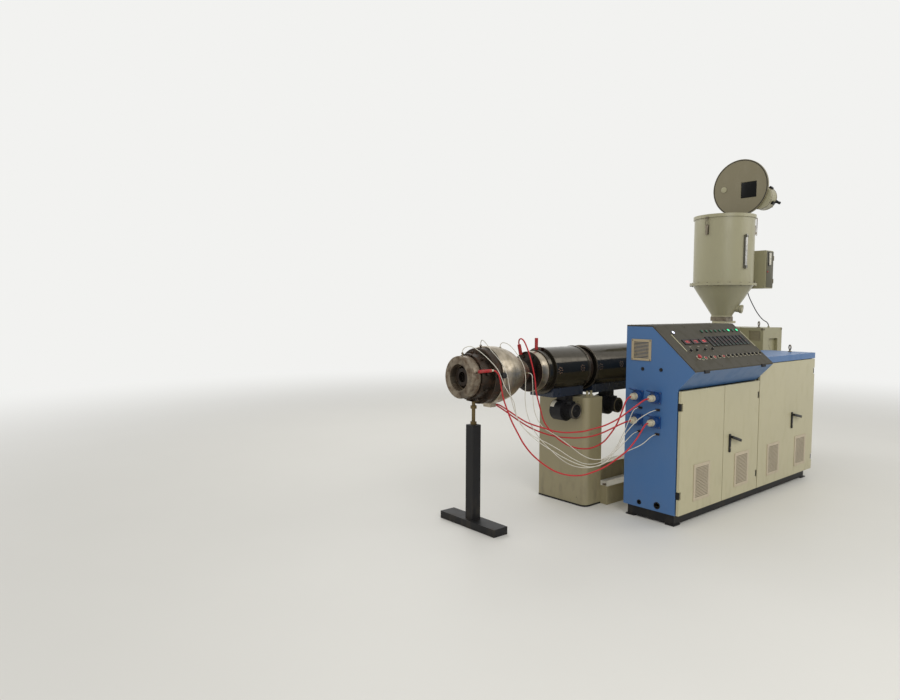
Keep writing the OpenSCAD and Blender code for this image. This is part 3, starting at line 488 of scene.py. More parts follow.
@dataclass(frozen=True)
class Datum:
    """The machine's zero, at the end panel, the cabinet's front and the floor, and its main axes."""

    x: float
    y: float
    barrel: Flat = (880.0, 1000.0)
    hopper: Flat = (2230.0, 880.0)
    panel_foot: Flat = (-120.0, 1050.0)
    panel_tilt: float = math.atan2(285.0, 320.0)

    def at(self, x: float, y: float, z: float) -> Vector:
        """Turns a place on the machine, in millimetres, into the row frame."""
        return Vector((self.x + x * MM, self.y + y * MM, z * MM))

    def seat(self, place: Point, out: Point, up: Point) -> Matrix:
        """Gives the seat of a piece.

        Args:
            place: the seat's middle, in millimetres from the machine's zero.
            out: the direction that the piece stands out in.
            up: the direction of its upper edge.

        Returns:
            The matrix that puts a shape modelled on its own XY plane there.
        """
        rise, top = Vector(out).normalized(), Vector(up).normalized()
        turn = Matrix((top.cross(rise), top, rise)).transposed()
        return Matrix.Translation(self.at(*place)) @ turn.to_4x4()

    def on(self, side: Side, x: float, y: float, z: float) -> Matrix:
        """Gives the seat of a piece that faces one of the machine's sides."""
        return self.seat((x, y, z), *side.value)

    def panel(self, x: float, v: float, lift: float = 0.0) -> Matrix:
        """Gives a seat on the sloping panel, v millimetres up from its nose."""
        s, c = math.sin(self.panel_tilt), math.cos(self.panel_tilt)
        y, z = self.panel_foot
        return self.seat((x, y + v * c - lift * s, z + v * s + lift * c), (0, -s, c), (0, c, s))

    def round(self, x: float, angle: float, reach: float) -> Matrix:
        """Gives a seat that faces out from the barrel's line, angle degrees up from straight back."""
        c, s = arm(angle)
        return self.seat((x, self.barrel[0] + reach * c, self.barrel[1] + reach * s), (0, c, s), (1, 0, 0))

    def face(self, x: float, angle: float, reach: float) -> Matrix:
        """Gives a seat on a face square to the barrel, looking at the die's end."""
        c, s = arm(angle)
        return self.seat((x, self.barrel[0] + reach * c, self.barrel[1] + reach * s), (-1, 0, 0), (0, c, s))

    def ring(self, angle: float, reach: float, z: float) -> Matrix:
        """Gives a seat round the hopper's centre line that faces upward, its top edge outward."""
        c, s = arm(angle)
        return self.seat((self.hopper[0] + reach * c, self.hopper[1] + reach * s, z), (0, 0, 1), (c, s, 0))


def ngon(sides: int, radius: float) -> list[Flat]:
    """Gives the corners of a regular outline."""
    turns = [math.tau * i / sides for i in range(sides)]
    return [(radius * math.cos(turn), radius * math.sin(turn)) for turn in turns]


def rect(width: float, height: float, corner: float = 0.0, middle: Flat = (0.0, 0.0),
         steps: int = 4) -> list[Flat]:
    """Gives the outline of a rectangle with rounded corners.

    Args:
        width: size along the shape's X.
        height: size along the shape's Y.
        corner: radius of its corners.
        middle: its middle.
        steps: points along each corner, less one.

    Returns:
        The outline's points, anticlockwise.
    """
    if corner <= 0:
        return [(middle[0] + sx * width / 2, middle[1] + sy * height / 2) for sx, sy in QUARTERS]
    points = []
    for quarter, (sx, sy) in enumerate(QUARTERS):
        cx, cy = middle[0] + sx * (width / 2 - corner), middle[1] + sy * (height / 2 - corner)
        for step in range(steps + 1):
            c, s = arm(90 * (quarter + step / steps))
            points.append((cx + corner * c, cy + corner * s))
    return points


DOUBLED_MM = 0.02
CREASE_DEG = 34.0


class Bench:
    """Where small shapes are modelled in edit mode, each from an outline in millimetres."""

    def __init__(self, points: Sequence[Point], filled: bool) -> None:
        """Lays an outline on the bench and opens it for editing.

        Args:
            points: the outline's points.
            filled: True for a face, False for an open line.
        """
        bpy.ops.object.select_all(action="DESELECT")
        mesh = bpy.data.meshes.new("blank")
        line = [] if filled else [(i, i + 1) for i in range(len(points) - 1)]
        face = [tuple(range(len(points)))] if filled else []
        mesh.from_pydata([Vector(p) * MM for p in points], line, face)
        self.blank = bpy.data.objects.new("blank", mesh)
        bpy.context.scene.collection.objects.link(self.blank)
        bpy.context.view_layer.objects.active = self.blank
        self.blank.select_set(True)
        bpy.ops.object.mode_set(mode="EDIT")
        bpy.ops.mesh.select_mode(type="FACE" if filled else "VERT")
        bpy.ops.mesh.select_all(action="SELECT")

    def take(self) -> bpy.types.Mesh:
        """Joins doubled points, turns the faces outward, marks the creases and takes the mesh away."""
        bpy.ops.mesh.select_mode(type="EDGE")
        bpy.ops.mesh.select_all(action="SELECT")
        bpy.ops.mesh.remove_doubles(threshold=DOUBLED_MM * MM)
        bpy.ops.mesh.normals_make_consistent(inside=False)
        bpy.ops.mesh.select_all(action="DESELECT")
        bpy.ops.mesh.edges_select_sharp(sharpness=math.radians(CREASE_DEG))
        bpy.ops.mesh.mark_sharp()
        bpy.ops.object.mode_set(mode="OBJECT")
        mesh = self.blank.data
        bpy.data.objects.remove(self.blank)
        return mesh


def lathe(profile: Sequence[Flat], steps: int = 28) -> bpy.types.Mesh:
    """Spins a profile round its Z axis.

    Args:
        profile: radius and height of each point, in millimetres.
        steps: facets round.

    Returns:
        The turned mesh.
    """
    bench = Bench([(r, 0.0, z) for r, z in profile], False)
    bpy.ops.mesh.spin(steps=steps, angle=math.tau, center=(0, 0, 0), axis=(0, 0, 1))
    return bench.take()


def prism(outline: Sequence[Flat], height: float, soft: float = 0.0, rim: float = 0.0,
          sink: float = 0.0, base: float = 0.0) -> bpy.types.Mesh:
    """Extrudes an outline, sinks its top inside a rim where asked, and rounds its edges.

    Args:
        outline: its corners, in millimetres.
        height: how high it stands.
        soft: radius of its edges.
        rim: width of the rim round a sunk top.
        sink: depth of the sunk top.
        base: height that it starts from.

    Returns:
        The mesh.
    """
    bench = Bench([(x, y, base) for x, y in outline], True)
    bpy.ops.mesh.extrude_region_move(TRANSFORM_OT_translate={"value": (0, 0, (height - base) * MM)})
    if rim:
        bpy.ops.mesh.inset(thickness=rim * MM)
        bpy.ops.mesh.extrude_region_move(TRANSFORM_OT_translate={"value": (0, 0, -sink * MM)})
    if soft:
        bpy.ops.mesh.select_all(action="SELECT")
        bpy.ops.mesh.bevel(offset=soft * MM, segments=2, affect="EDGES", clamp_overlap=True)
    return bench.take()


Placed = tuple[bpy.types.Mesh, Matrix]


def each(seats: Iterable[Matrix], *shapes: bpy.types.Mesh) -> list[Placed]:
    """Puts the same shapes on every seat."""
    return [(shape, seat) for seat in seats for shape in shapes]


class Workshop:
    """Joins placed shapes into pieces and fits them to the machine."""

    def __init__(self, datum: Datum) -> None:
        """Opens the workshop.

        Args:
            datum: the machine's zero.
        """
        self.datum = datum
        self.count = 0

    def fit(self, name: str, finish: Finish, shapes: Iterable[Placed], body: str = "machine",
            instead: Sequence[str] = ()) -> bpy.types.Object:
        """Makes one piece of placed shapes.

        Args:
            name: the piece's name.
            finish: its surface.
            shapes: meshes with the seat of each.
            body: the body that it rides on.
            instead: nodes that it stands for.

        Returns:
            The piece.
        """
        grown = bmesh.new()
        for mesh, seat in shapes:
            first = len(grown.verts)
            grown.from_mesh(mesh)
            grown.verts.ensure_lookup_table()
            bmesh.ops.transform(grown, matrix=seat, verts=grown.verts[first:])
        for face in grown.faces:
            face.smooth = True
        mesh = bpy.data.meshes.new(name)
        grown.to_mesh(mesh)
        grown.free()
        mesh.materials.append(finish.material())
        piece = bpy.data.objects.new(name, mesh)
        bpy.context.scene.collection.objects.link(piece)
        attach(piece, body)
        if instead:
            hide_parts(*instead)
        self.count += 1
        LOG.info("piece %s: %s, %d faces", name, finish.name, len(mesh.polygons))
        return piece


PAN_SCREW = ((0, 2.6), (2.4, 2.4), (4.0, 1.6), (4.8, 0.4), (4.8, -0.6), (0, -0.6))
CAP_SCREW = ((0, 2.4), (3.2, 2.4), (3.4, 6.0), (5.0, 6.2), (5.8, 5.4), (6.0, 0.0), (6.0, -0.8), (0, -0.8))
WASHER = ((0, 1.6), (11.6, 1.6), (12.0, 1.2), (12.0, -0.5), (0, -0.5))


def hex_bolts(seats: Sequence[Matrix], across: float = 13.0, height: float = 6.0) -> list[Placed]:
    """Gives hexagon heads on washers, one for each seat."""
    scale = across / 13.0
    head = prism(ngon(6, across / math.sqrt(3)), height, soft=0.7 * scale, base=0.6)
    washer = lathe([(r * scale * 0.86, h) for r, h in WASHER], 24)
    return each(seats, head, washer)


def screws(seats: Sequence[Matrix], profile: Sequence[Flat] = PAN_SCREW,
           size: float = 1.0) -> list[Placed]:
    """Gives screw heads, one for each seat."""
    return each(seats, lathe([(r * size, h * size) for r, h in profile], 20))


@dataclass(frozen=True)
class Lead:
    """A supply lead or probe wire, with both its ends on the machine."""

    node: str
    jacket: Finish
    diameter: float
    length: float
    route: tuple[Point, ...]
    stiffness: Stiffness = Stiffness.LIMP

    def run(self, datum: Datum) -> None:
        """Lays the lead along its route as one smooth curve.

        Args:
            datum: the machine's zero.
        """
        points = [datum.at(*p) for p in self.route]
        curve = bpy.data.curves.new(self.node + "_jacket", "CURVE")
        curve.dimensions = "3D"
        curve.resolution_u = 10
        curve.bevel_depth = self.diameter * MM / 2
        curve.bevel_resolution = 4
        curve.use_fill_caps = True
        line = curve.splines.new("BEZIER")
        line.bezier_points.add(len(points) - 1)
        for i, (knot, point) in enumerate(zip(line.bezier_points, points)):
            pull = (points[min(i + 1, len(points) - 1)] - points[max(i - 1, 0)]) / 6
            knot.co, knot.handle_left, knot.handle_right = point, point - pull, point + pull
        curve.materials.append(self.jacket.material())
        lead = bpy.data.objects.new(self.node + "_jacket", curve)
        bpy.context.scene.collection.objects.link(lead)
        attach(lead, "machine")
        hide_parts(self.node)
        LOG.info("lead %s: %d mm", self.node, self.length)


LEADS = (
    Lead("heater_lead_sleeve", RED_JACKET, 10, 1603, (
        (-1011.7, 704, 1050), (-998, 702, 1050), (-982, 694, 1045), (-967, 682, 1025), (-957, 675, 985),
        (-948, 674, 935), (-930, 674, 870), (-905, 666, 800), (-880, 650, 725), (-840, 630, 640),
        (-805, 605, 565), (-760, 570, 495), (-705, 525, 435), (-650, 475, 390), (-585, 425, 365),
        (-510, 375, 360), (-440, 330, 380), (-370, 285, 415), (-310, 240, 465), (-255, 200, 520),
        (-200, 175, 585), (-150, 160, 652), (-118, 159, 680), (-92.3, 158, 685))),
    Lead("heater_lead_cone_upper", RED_JACKET, 10, 1171, (
        (-829.7, 862, 800), (-800, 861, 797), (-765, 850, 780), (-705, 820, 735), (-665, 785, 700),
        (-630, 740, 670), (-595, 685, 650), (-560, 635, 635), (-520, 585, 620), (-480, 535, 615),
        (-440, 485, 620), (-405, 435, 630), (-375, 385, 650), (-345, 335, 670), (-315, 285, 700),
        (-285, 240, 735), (-245, 205, 775), (-195, 175, 815), (-145, 160, 843), (-115, 158, 849),
        (-92.3, 158, 850))),
    Lead("heater_lead_cone_lower", RED_JACKET, 10, 1071, (
        (-829.7, 898, 800), (-800, 898, 796), (-765, 889, 777), (-710, 868, 738), (-670, 840, 702),
        (-640, 805, 672), (-605, 765, 640), (-570, 725, 615), (-530, 690, 595), (-495, 645, 580),
        (-460, 600, 572), (-425, 555, 570), (-395, 510, 572), (-360, 460, 580), (-325, 420, 592),
        (-290, 380, 612), (-245, 345, 638), (-190, 315, 665), (-145, 297, 681), (-115, 295, 685),
        (-92.3, 295, 685))),
    Lead("heater_lead_flange", RED_JACKET, 10, 1562, (
        (-525.1, 930, 1190.3), (-530, 928, 1208), (-538, 914, 1226), (-545, 889, 1233), (-549, 861, 1219),
        (-550, 836, 1185), (-545, 818, 1140), (-540, 798, 1080), (-528, 786, 1010), (-512, 784, 940),
        (-498, 788, 870), (-484, 778, 800), (-470, 765, 730), (-460, 745, 660), (-435, 705, 595),
        (-405, 655, 540), (-365, 595, 500), (-320, 530, 485), (-275, 470, 495), (-230, 415, 535),
        (-205, 370, 600), (-185, 335, 670), (-170, 310, 750), (-146, 298, 818), (-119, 295, 844),
        (-92.3, 295, 850))),
    Lead("probe_lead_face", WHITE_JACKET, 5, 1772, (
        (-1100, 880, 1160.3), (-1099, 877, 1176), (-1090, 859, 1194), (-1069, 823, 1198), (-1038, 768, 1162),
        (-1003, 718, 1108), (-974, 683, 1056), (-958, 665, 1005), (-938, 655, 950), (-895, 655, 895),
        (-835, 672, 835), (-780, 700, 740), (-715, 697, 650), (-635, 672, 585), (-560, 625, 540),
        (-490, 575, 490), (-425, 520, 435), (-365, 460, 400), (-295, 400, 405), (-230, 350, 455),
        (-160, 305, 530), (-98, 281, 586), (-56, 278, 603), (-26.3, 278, 605))),
    Lead("probe_lead_ring", WHITE_JACKET, 5, 1900, (
        (-940, 880, 1205.3), (-941, 877, 1221), (-948, 859, 1236), (-957, 820, 1224), (-956, 765, 1176),
        (-938, 722, 1128), (-915, 694, 1078), (-899, 681, 1032), (-884, 677, 985), (-864, 682, 915),
        (-838, 690, 845), (-790, 685, 730), (-725, 662, 635), (-650, 620, 560), (-575, 570, 500),
        (-500, 515, 445), (-430, 450, 405), (-380, 385, 395), (-320, 320, 430), (-265, 270, 530),
        (-215, 240, 625), (-155, 200, 705), (-102, 158, 752), (-58, 142, 768), (-26.3, 141, 770))),
    Lead("probe_lead_cone_top", WHITE_JACKET, 5, 1688, (
        (-760, 880, 1186.3), (-759, 877, 1201), (-749, 861, 1213), (-720, 826, 1194), (-690, 783, 1132),
        (-666, 752, 1062), (-648, 748, 985), (-638, 757, 900), (-630, 765, 815), (-620, 752, 720),
        (-600, 722, 635), (-565, 678, 555), (-525, 625, 490), (-475, 570, 425), (-425, 505, 385),
        (-360, 440, 375), (-300, 385, 395), (-235, 330, 435), (-175, 262, 490), (-115, 190, 540),
        (-76, 147, 592), (-50, 141, 603), (-26.3, 141, 605))),
    Lead("probe_lead_cone_side", WHITE_JACKET, 5, 1322, (
        (-600, 761.7, 1004), (-599, 748, 1003), (-594, 737, 986), (-587, 739, 940), (-585, 737, 880),
        (-586, 732, 810), (-581, 720, 738), (-564, 702, 680), (-540, 672, 632), (-505, 632, 600),
        (-462, 585, 560), (-420, 535, 512), (-375, 475, 458), (-325, 410, 432), (-270, 352, 450),
        (-220, 312, 520), (-170, 292, 610), (-120, 282, 700), (-84, 279, 753), (-53, 278, 768),
        (-26.3, 278, 770))),
    Lead("dryer_supply_lead", BLACK_JACKET, 9, 424, (
        (2545, 785, 1635.7), (2546, 784, 1612), (2553, 777, 1578), (2568, 762, 1530), (2588, 742, 1475),
        (2610, 720, 1420), (2635, 695, 1372), (2660, 671, 1338), (2679, 655, 1324), (2693, 644, 1305),
        (2700, 640, 1282.3)), Stiffness.MEDIUM),
)


@dataclass(frozen=True)
class PhotoCamera:
    """The camera at the photograph's place and angle; its place is in millimetres from the datum."""

    place: Point = (-3899.0, -2318.0, 1447.0)
    yaw_deg: float = 40.11
    pitch_deg: float = -3.66
    roll_deg: float = 0.26
    lens_mm: float = 26.4
    sensor_mm: float = 36.0

    def make(self, datum: Datum) -> bpy.types.Object:
        """Adds the camera and makes it the scene's.

        Args:
            datum: the machine's zero.

        Returns:
            The camera object.
        """
        bpy.ops.object.camera_add(location=datum.at(*self.place))
        camera = bpy.context.object
        camera.data.lens = self.lens_mm
        camera.data.sensor_width = self.sensor_mm
        camera.data.clip_end = 200
        turn = Matrix.Rotation(-math.radians(self.yaw_deg), 4, "Z")
        turn @= Matrix.Rotation(math.radians(90 + self.pitch_deg), 4, "X")
        turn @= Matrix.Rotation(math.radians(self.roll_deg), 4, "Z")
        camera.rotation_euler = turn.to_euler()
        bpy.context.scene.camera = camera
        return camera


@dataclass(frozen=True)
class Softbox:
    """A square white area lamp: its place and aim in millimetres, its side in metres and its power."""

    name: str
    place: Point
    aim: Point
    side: float
    watts: float

    def hang(self, datum: Datum) -> None:
        """Adds the lamp."""
        bpy.ops.object.light_add(type="AREA", location=datum.at(*self.place))
        lamp = bpy.context.object
        lamp.name = self.name
        lamp.data.size = self.side
        lamp.data.energy = self.watts
        aim = datum.at(*self.aim) - lamp.location
        lamp.rotation_euler = aim.to_track_quat("-Z", "Y").to_euler()


@dataclass(frozen=True)
class Studio:
    """Plain pale floor, pale surroundings and soft lamps."""

    floor_side: float = 80.0
    floor_colour: str = "#DEDCD6"
    patina_colour: str = "#D2D0CA"
    sky_colour: str = "#F2F2F0"
    fill_level: float = 0.74
    clear_from: float = 3.5
    clear_to: float = 11.0
    lamps: tuple[Softbox, ...] = (
        Softbox("key_softbox", (-2600, -3600, 4200), (500, 300, 900), 3.0, 105),
        Softbox("side_softbox", (3800, -2600, 3600), (1200, 300, 1000), 3.0, 40),
        Softbox("back_softbox", (900, 4600, 4200), (900, 600, 1200), 3.0, 60),
    )

    def clear(self, surface: Surface) -> None:
        """Lets the floor pass into the surroundings, far from the object, as it is seen or mirrored.

        Args:
            surface: the floor's material.
        """
        reach = surface.add("VectorMath", links={0: surface.place}, operation="LENGTH").outputs["Value"]
        span = {"From Min": self.clear_from, "From Max": self.clear_to}
        far = surface.add("MapRange", span, {"Value": reach}, interpolation_type="SMOOTHSTEP").outputs[0]
        path = surface.add("LightPath").outputs
        rays = {0: path["Is Camera Ray"], 1: path["Is Glossy Ray"]}
        seen = surface.add("Math", links=rays, operation="MAXIMUM").outputs[0]
        share = surface.add("Math", links={0: far, 1: seen}, operation="MULTIPLY").outputs[0]
        white = surface.add("Emission", {"Color": linear(self.sky_colour), "Strength": 1.0}).outputs[0]
        both = surface.add("MixShader", links={0: share, 1: surface.shader.outputs[0], 2: white})
        out = next(node for node in surface.tree.nodes if node.type == "OUTPUT_MATERIAL")
        surface.tree.links.new(both.outputs[0], out.inputs["Surface"])

    def build(self, datum: Datum) -> None:
        """Builds the floor, the surroundings and the lamps."""
        bpy.ops.object.select_all(action="DESELECT")
        bpy.ops.mesh.primitive_plane_add(size=self.floor_side, location=(0, 0, 0))
        floor = bpy.context.object
        floor.name = "studio_floor"
        surface = Surface("studio_floor")
        patina = surface.speckle(900, 0.3, 0.7, 3)
        surface.colour(surface.cover(self.floor_colour, self.patina_colour, 0.15, patina))
        surface.set(Roughness=0.6)
        self.clear(surface)
        floor.data.materials.append(surface.material)
        world = bpy.data.worlds.new("studio_sky")
        world.use_nodes = True
        tree = world.node_tree
        tree.nodes.clear()
        path = add_node(tree, "LightPath").outputs
        rays = {0: path["Is Camera Ray"], 1: path["Is Glossy Ray"]}
        seen = add_node(tree, "Math", links=rays, operation="MAXIMUM").outputs[0]
        rays = {0: seen, 1: path["Is Transmission Ray"]}
        clear = add_node(tree, "Math", links=rays, operation="MAXIMUM").outputs[0]
        span = {"To Min": self.fill_level, "To Max": 1.0}
        level = add_node(tree, "MapRange", span, {"Value": clear}).outputs[0]
        sky = add_node(tree, "Background", {"Color": linear(self.sky_colour)}, {"Strength": level})
        add_node(tree, "OutputWorld", links={"Surface": sky.outputs[0]})
        bpy.context.scene.world = world
        for lamp in self.lamps:
            lamp.hang(datum)


class SubAssembly:
    """A group of pieces that stands on one part of the machine."""

    def build(self, shop: Workshop) -> None:
        """Makes the group's pieces and fits them."""
        raise NotImplementedError


UPSIDE_DOWN = Matrix.Rotation(math.pi, 4, "X")
BEZEL = ((0, -0.5), (15, -0.5), (15, 3.4), (14, 4.9), (12.2, 5.0), (11.8, 3.2), (0, 3.2))
LENS = ((11.7, 3.0), (11.4, 5.6), (9.4, 7.6), (5.0, 8.6), (0, 8.8))
KNOB = ((0, 0), (10.4, 0), (10.4, 2.4), (9.2, 3.6), (8.2, 13.4), (7.4, 15.6), (5.8, 16.4), (0, 16.4))
MUSHROOM = ((0, 21), (6, 20.7), (11.4, 19.6), (14.8, 17.4), (16.4, 14.6), (16.5, 13.2), (15.6, 11.4),
            (12.8, 10.6), (9.4, 10.4), (8.8, 9.4), (8.8, 2.6), (0, 2.6))
SEGMENTS = {"a": (0, 9.6, 8, 1.8), "b": (4.6, 5, 1.8, 7.4), "c": (4.6, -5, 1.8, 7.4), "d": (0, -9.6, 8, 1.8),
            "e": (-4.6, -5, 1.8, 7.4), "f": (-4.6, 5, 1.8, 7.4), "g": (0, 0, 8, 1.8)}
DIGITS = {"0": "abcdef", "1": "bc", "5": "acdfg", "6": "acdefg", "7": "abc", "8": "abcdefg"}


@dataclass(frozen=True)
class ControlPanel(SubAssembly):
    """Lamps, meters, displays, knobs and switches of the sloping panel: x along it, v up from its nose."""

    lamp_v: float = 352.0
    lamp_xs: tuple[float, ...] = tuple(532 + 64 * i for i in range(9))
    lit_xs: tuple[float, ...] = (916, 1044)
    white_lamp: Flat = (156, 350)
    meter_v: float = 248.0
    meter_xs: tuple[float, ...] = tuple(517 + 56 * i for i in range(10))
    meter_levels: tuple[float, ...] = (9, -5, 17, -12, 2, 9, -17, -3, 13, -9)
    display_v: float = 256.0
    display_xs: tuple[float, ...] = (217, 324, 431)
    readings: tuple[str, ...] = ("165", "170", "180")
    digit_step: float = 18.0
    label_v: float = 212.0
    label_xs: tuple[float, ...] = (203, 309, 418)
    knob_v: float = 175.0
    knob_xs: tuple[float, ...] = (162, 238, 344, 443)
    stop: Flat = (180, 110)
    start: Flat = (216, 97)
    switch_v: float = 102.0
    switch_xs: tuple[float, ...] = tuple(262 + 59.8 * i for i in range(14))
    red_buttons: tuple[int, ...] = (0, 2, 4)
    turns: tuple[float, ...] = (0, 0, 0, 38, 0, 0, -38, 0, 0, 38, 38, 0, 0, -38)
    screw_xs: tuple[float, ...] = (16, 372, 728, 1084)
    screw_vs: tuple[float, ...] = (20, 405)

    def build(self, shop: Workshop) -> None:
        """Fits the panel's rows from the top down."""
        self.lamps(shop)
        self.meters(shop)
        self.displays(shop)
        self.knobs(shop)
        self.switches(shop)

    def lamps(self, shop: Workshop) -> None:
        """Fits the pilot lamps; their bezels stand for the plain instruments of the solid model."""
        panel = shop.datum.panel
        bezel, lens = lathe(BEZEL, 32), lathe(LENS, 32)
        row = {x: panel(x, self.lamp_v) for x in self.lamp_xs}
        white = panel(*self.white_lamp)
        shop.fit("lamp_bezels", BLACK_PLASTIC, each((*row.values(), white), bezel),
                 instead=("panel_instruments",))
        shop.fit("lit_lenses", GREEN_LENS, each((row[x] for x in row if x in self.lit_xs), lens))
        shop.fit("dim_lenses", DIM_LENS, each((row[x] for x in row if x not in self.lit_xs), lens))
        shop.fit("white_lens", WHITE_LENS, each([white], lens))

    def meters(self, shop: Workshop) -> None:
        """Fits the upright edgewise meters with their scales and needles."""
        seats = [shop.datum.panel(x, self.meter_v) for x in self.meter_xs]
        case = prism(rect(40, 96, 2), 5.8, soft=0.5, rim=3.4, sink=1.0)
        glass = prism(rect(32.6, 88.6, 1), 4.95)
        ticks = [prism(rect(4 if i % 4 else 7, 0.8, middle=(-9, -33 + 6 * i)), 5.15) for i in range(12)]
        foot = prism(rect(16, 5, 1, middle=(2, -39)), 5.2)
        needles = [prism(rect(17, 1.8, middle=(2, level)), 5.4) for level in self.meter_levels]
        shop.fit("meter_frames", BLACK_PLASTIC, each(seats, case))
        shop.fit("meter_windows", WINDOW, each(seats, glass))
        shop.fit("meter_scales", LABEL, each(seats, *ticks))
        shop.fit("meter_feet", DIM_LENS, each(seats, foot))
        shop.fit("meter_needles", RED_PLASTIC, zip(needles, seats))

    def displays(self, shop: Workshop) -> None:
        """Fits the digital displays and the blank label plates under them."""
        panel = shop.datum.panel
        seats = [panel(x, self.display_v) for x in self.display_xs]
        plate = prism(rect(90, 46, 3), 6, soft=0.8, rim=6.5, sink=1.4)
        shop.fit("display_bezels", BLACK_PLASTIC, each(seats, plate))
        shop.fit("display_filters", RED_FILTER, each(seats, prism(rect(76, 32), 4.8)))
        lit = [(prism(rect(w, h, middle=(x + self.digit_step * (slot - 1), y)), 5.0), seat)
               for seat, reading in zip(seats, self.readings) for slot, digit in enumerate(reading)
               for x, y, w, h in (SEGMENTS[s] for s in DIGITS[digit])]
        shop.fit("display_digits", RED_DIGITS, lit)
        label = prism(rect(26, 6, 1.5), 0.9, soft=0.2)
        shop.fit("label_plates", LABEL, each((panel(x, self.label_v) for x in self.label_xs), label))

    def knobs(self, shop: Workshop) -> None:
        """Fits the speed knobs and the emergency stop."""
        panel = shop.datum.panel
        seats = [panel(x, self.knob_v) for x in self.knob_xs]
        skirt = lathe(((0, 0), (12.6, 0), (12.6, 0.8), (0, 0.8)), 32)
        shop.fit("speed_knobs", BLACK_PLASTIC, each(seats, lathe(KNOB, 28)), instead=("panel_switches",))
        shop.fit("knob_skirts", LABEL, each(seats, skirt))
        mark = prism(rect(1.6, 8, middle=(0, 2)), 16.6, base=16.0)
        shop.fit("knob_marks", CREAM_PLASTIC, each(seats, mark))
        collar = lathe(((0, 0), (17.6, 0), (17.6, 1.6), (16.4, 2.5), (10, 2.5), (0, 2.5)), 40)
        stop = [panel(*self.stop)]
        shop.fit("stop_collar", CREAM_PLASTIC, each(stop, collar))
        shop.fit("stop_button", RED_PLASTIC, each(stop, lathe(MUSHROOM, 40)), instead=("emergency_stop",))

    def switches(self, shop: Workshop) -> None:
        """Fits the row of selector switches and push-buttons on pale rings, whose cream is a painted
        highlight for the glint on chrome rings, and the panel's screws.
        """
        panel = shop.datum.panel
        seats = [panel(x, self.switch_v) @ Matrix.Rotation(math.radians(turn), 4, "Z")
                 for x, turn in zip(self.switch_xs, self.turns)]
        ring = lathe(((0, 0), (13, 0), (13, 1.6), (12, 2.6), (10.2, 2.6), (10, 1.6), (0, 1.6)), 32)
        body = lathe(((9.4, 1.6), (9.4, 6.6), (8.4, 8.0), (0, 8.2)), 28)
        grip = prism(rect(7, 17.4, 3.2), 15, soft=1.2, base=7.4)
        cap = lathe(((8.6, 1.6), (8.6, 5.6), (7.6, 7.0), (4, 7.6), (0, 7.7)), 28)
        reds = [seat for i, seat in enumerate(seats) if i in self.red_buttons]
        blacks = [seat for i, seat in enumerate(seats) if i not in self.red_buttons]
        start = panel(*self.start)
        # painted highlight: the rings are cream where the real ones are chrome, standing for their bright
        # glint
        shop.fit("switch_rings", CREAM_PLASTIC, each((*seats, start), ring))
        shop.fit("switch_grips", BLACK_PLASTIC, each(blacks, body, grip))
        shop.fit("push_buttons", RED_PLASTIC, each(reds, cap))
        shop.fit("start_button", DIM_LENS, each([start], cap))
        mark = prism(rect(1.6, 7, middle=(0, 4.2)), 15.2, base=14.6)
        shop.fit("pointer_lines", CREAM_PLASTIC, each(blacks, mark))
        corners = [panel(x, v) for x in self.screw_xs for v in self.screw_vs]
        shop.fit("panel_screws", DARK_IRON, screws(corners, size=0.8))


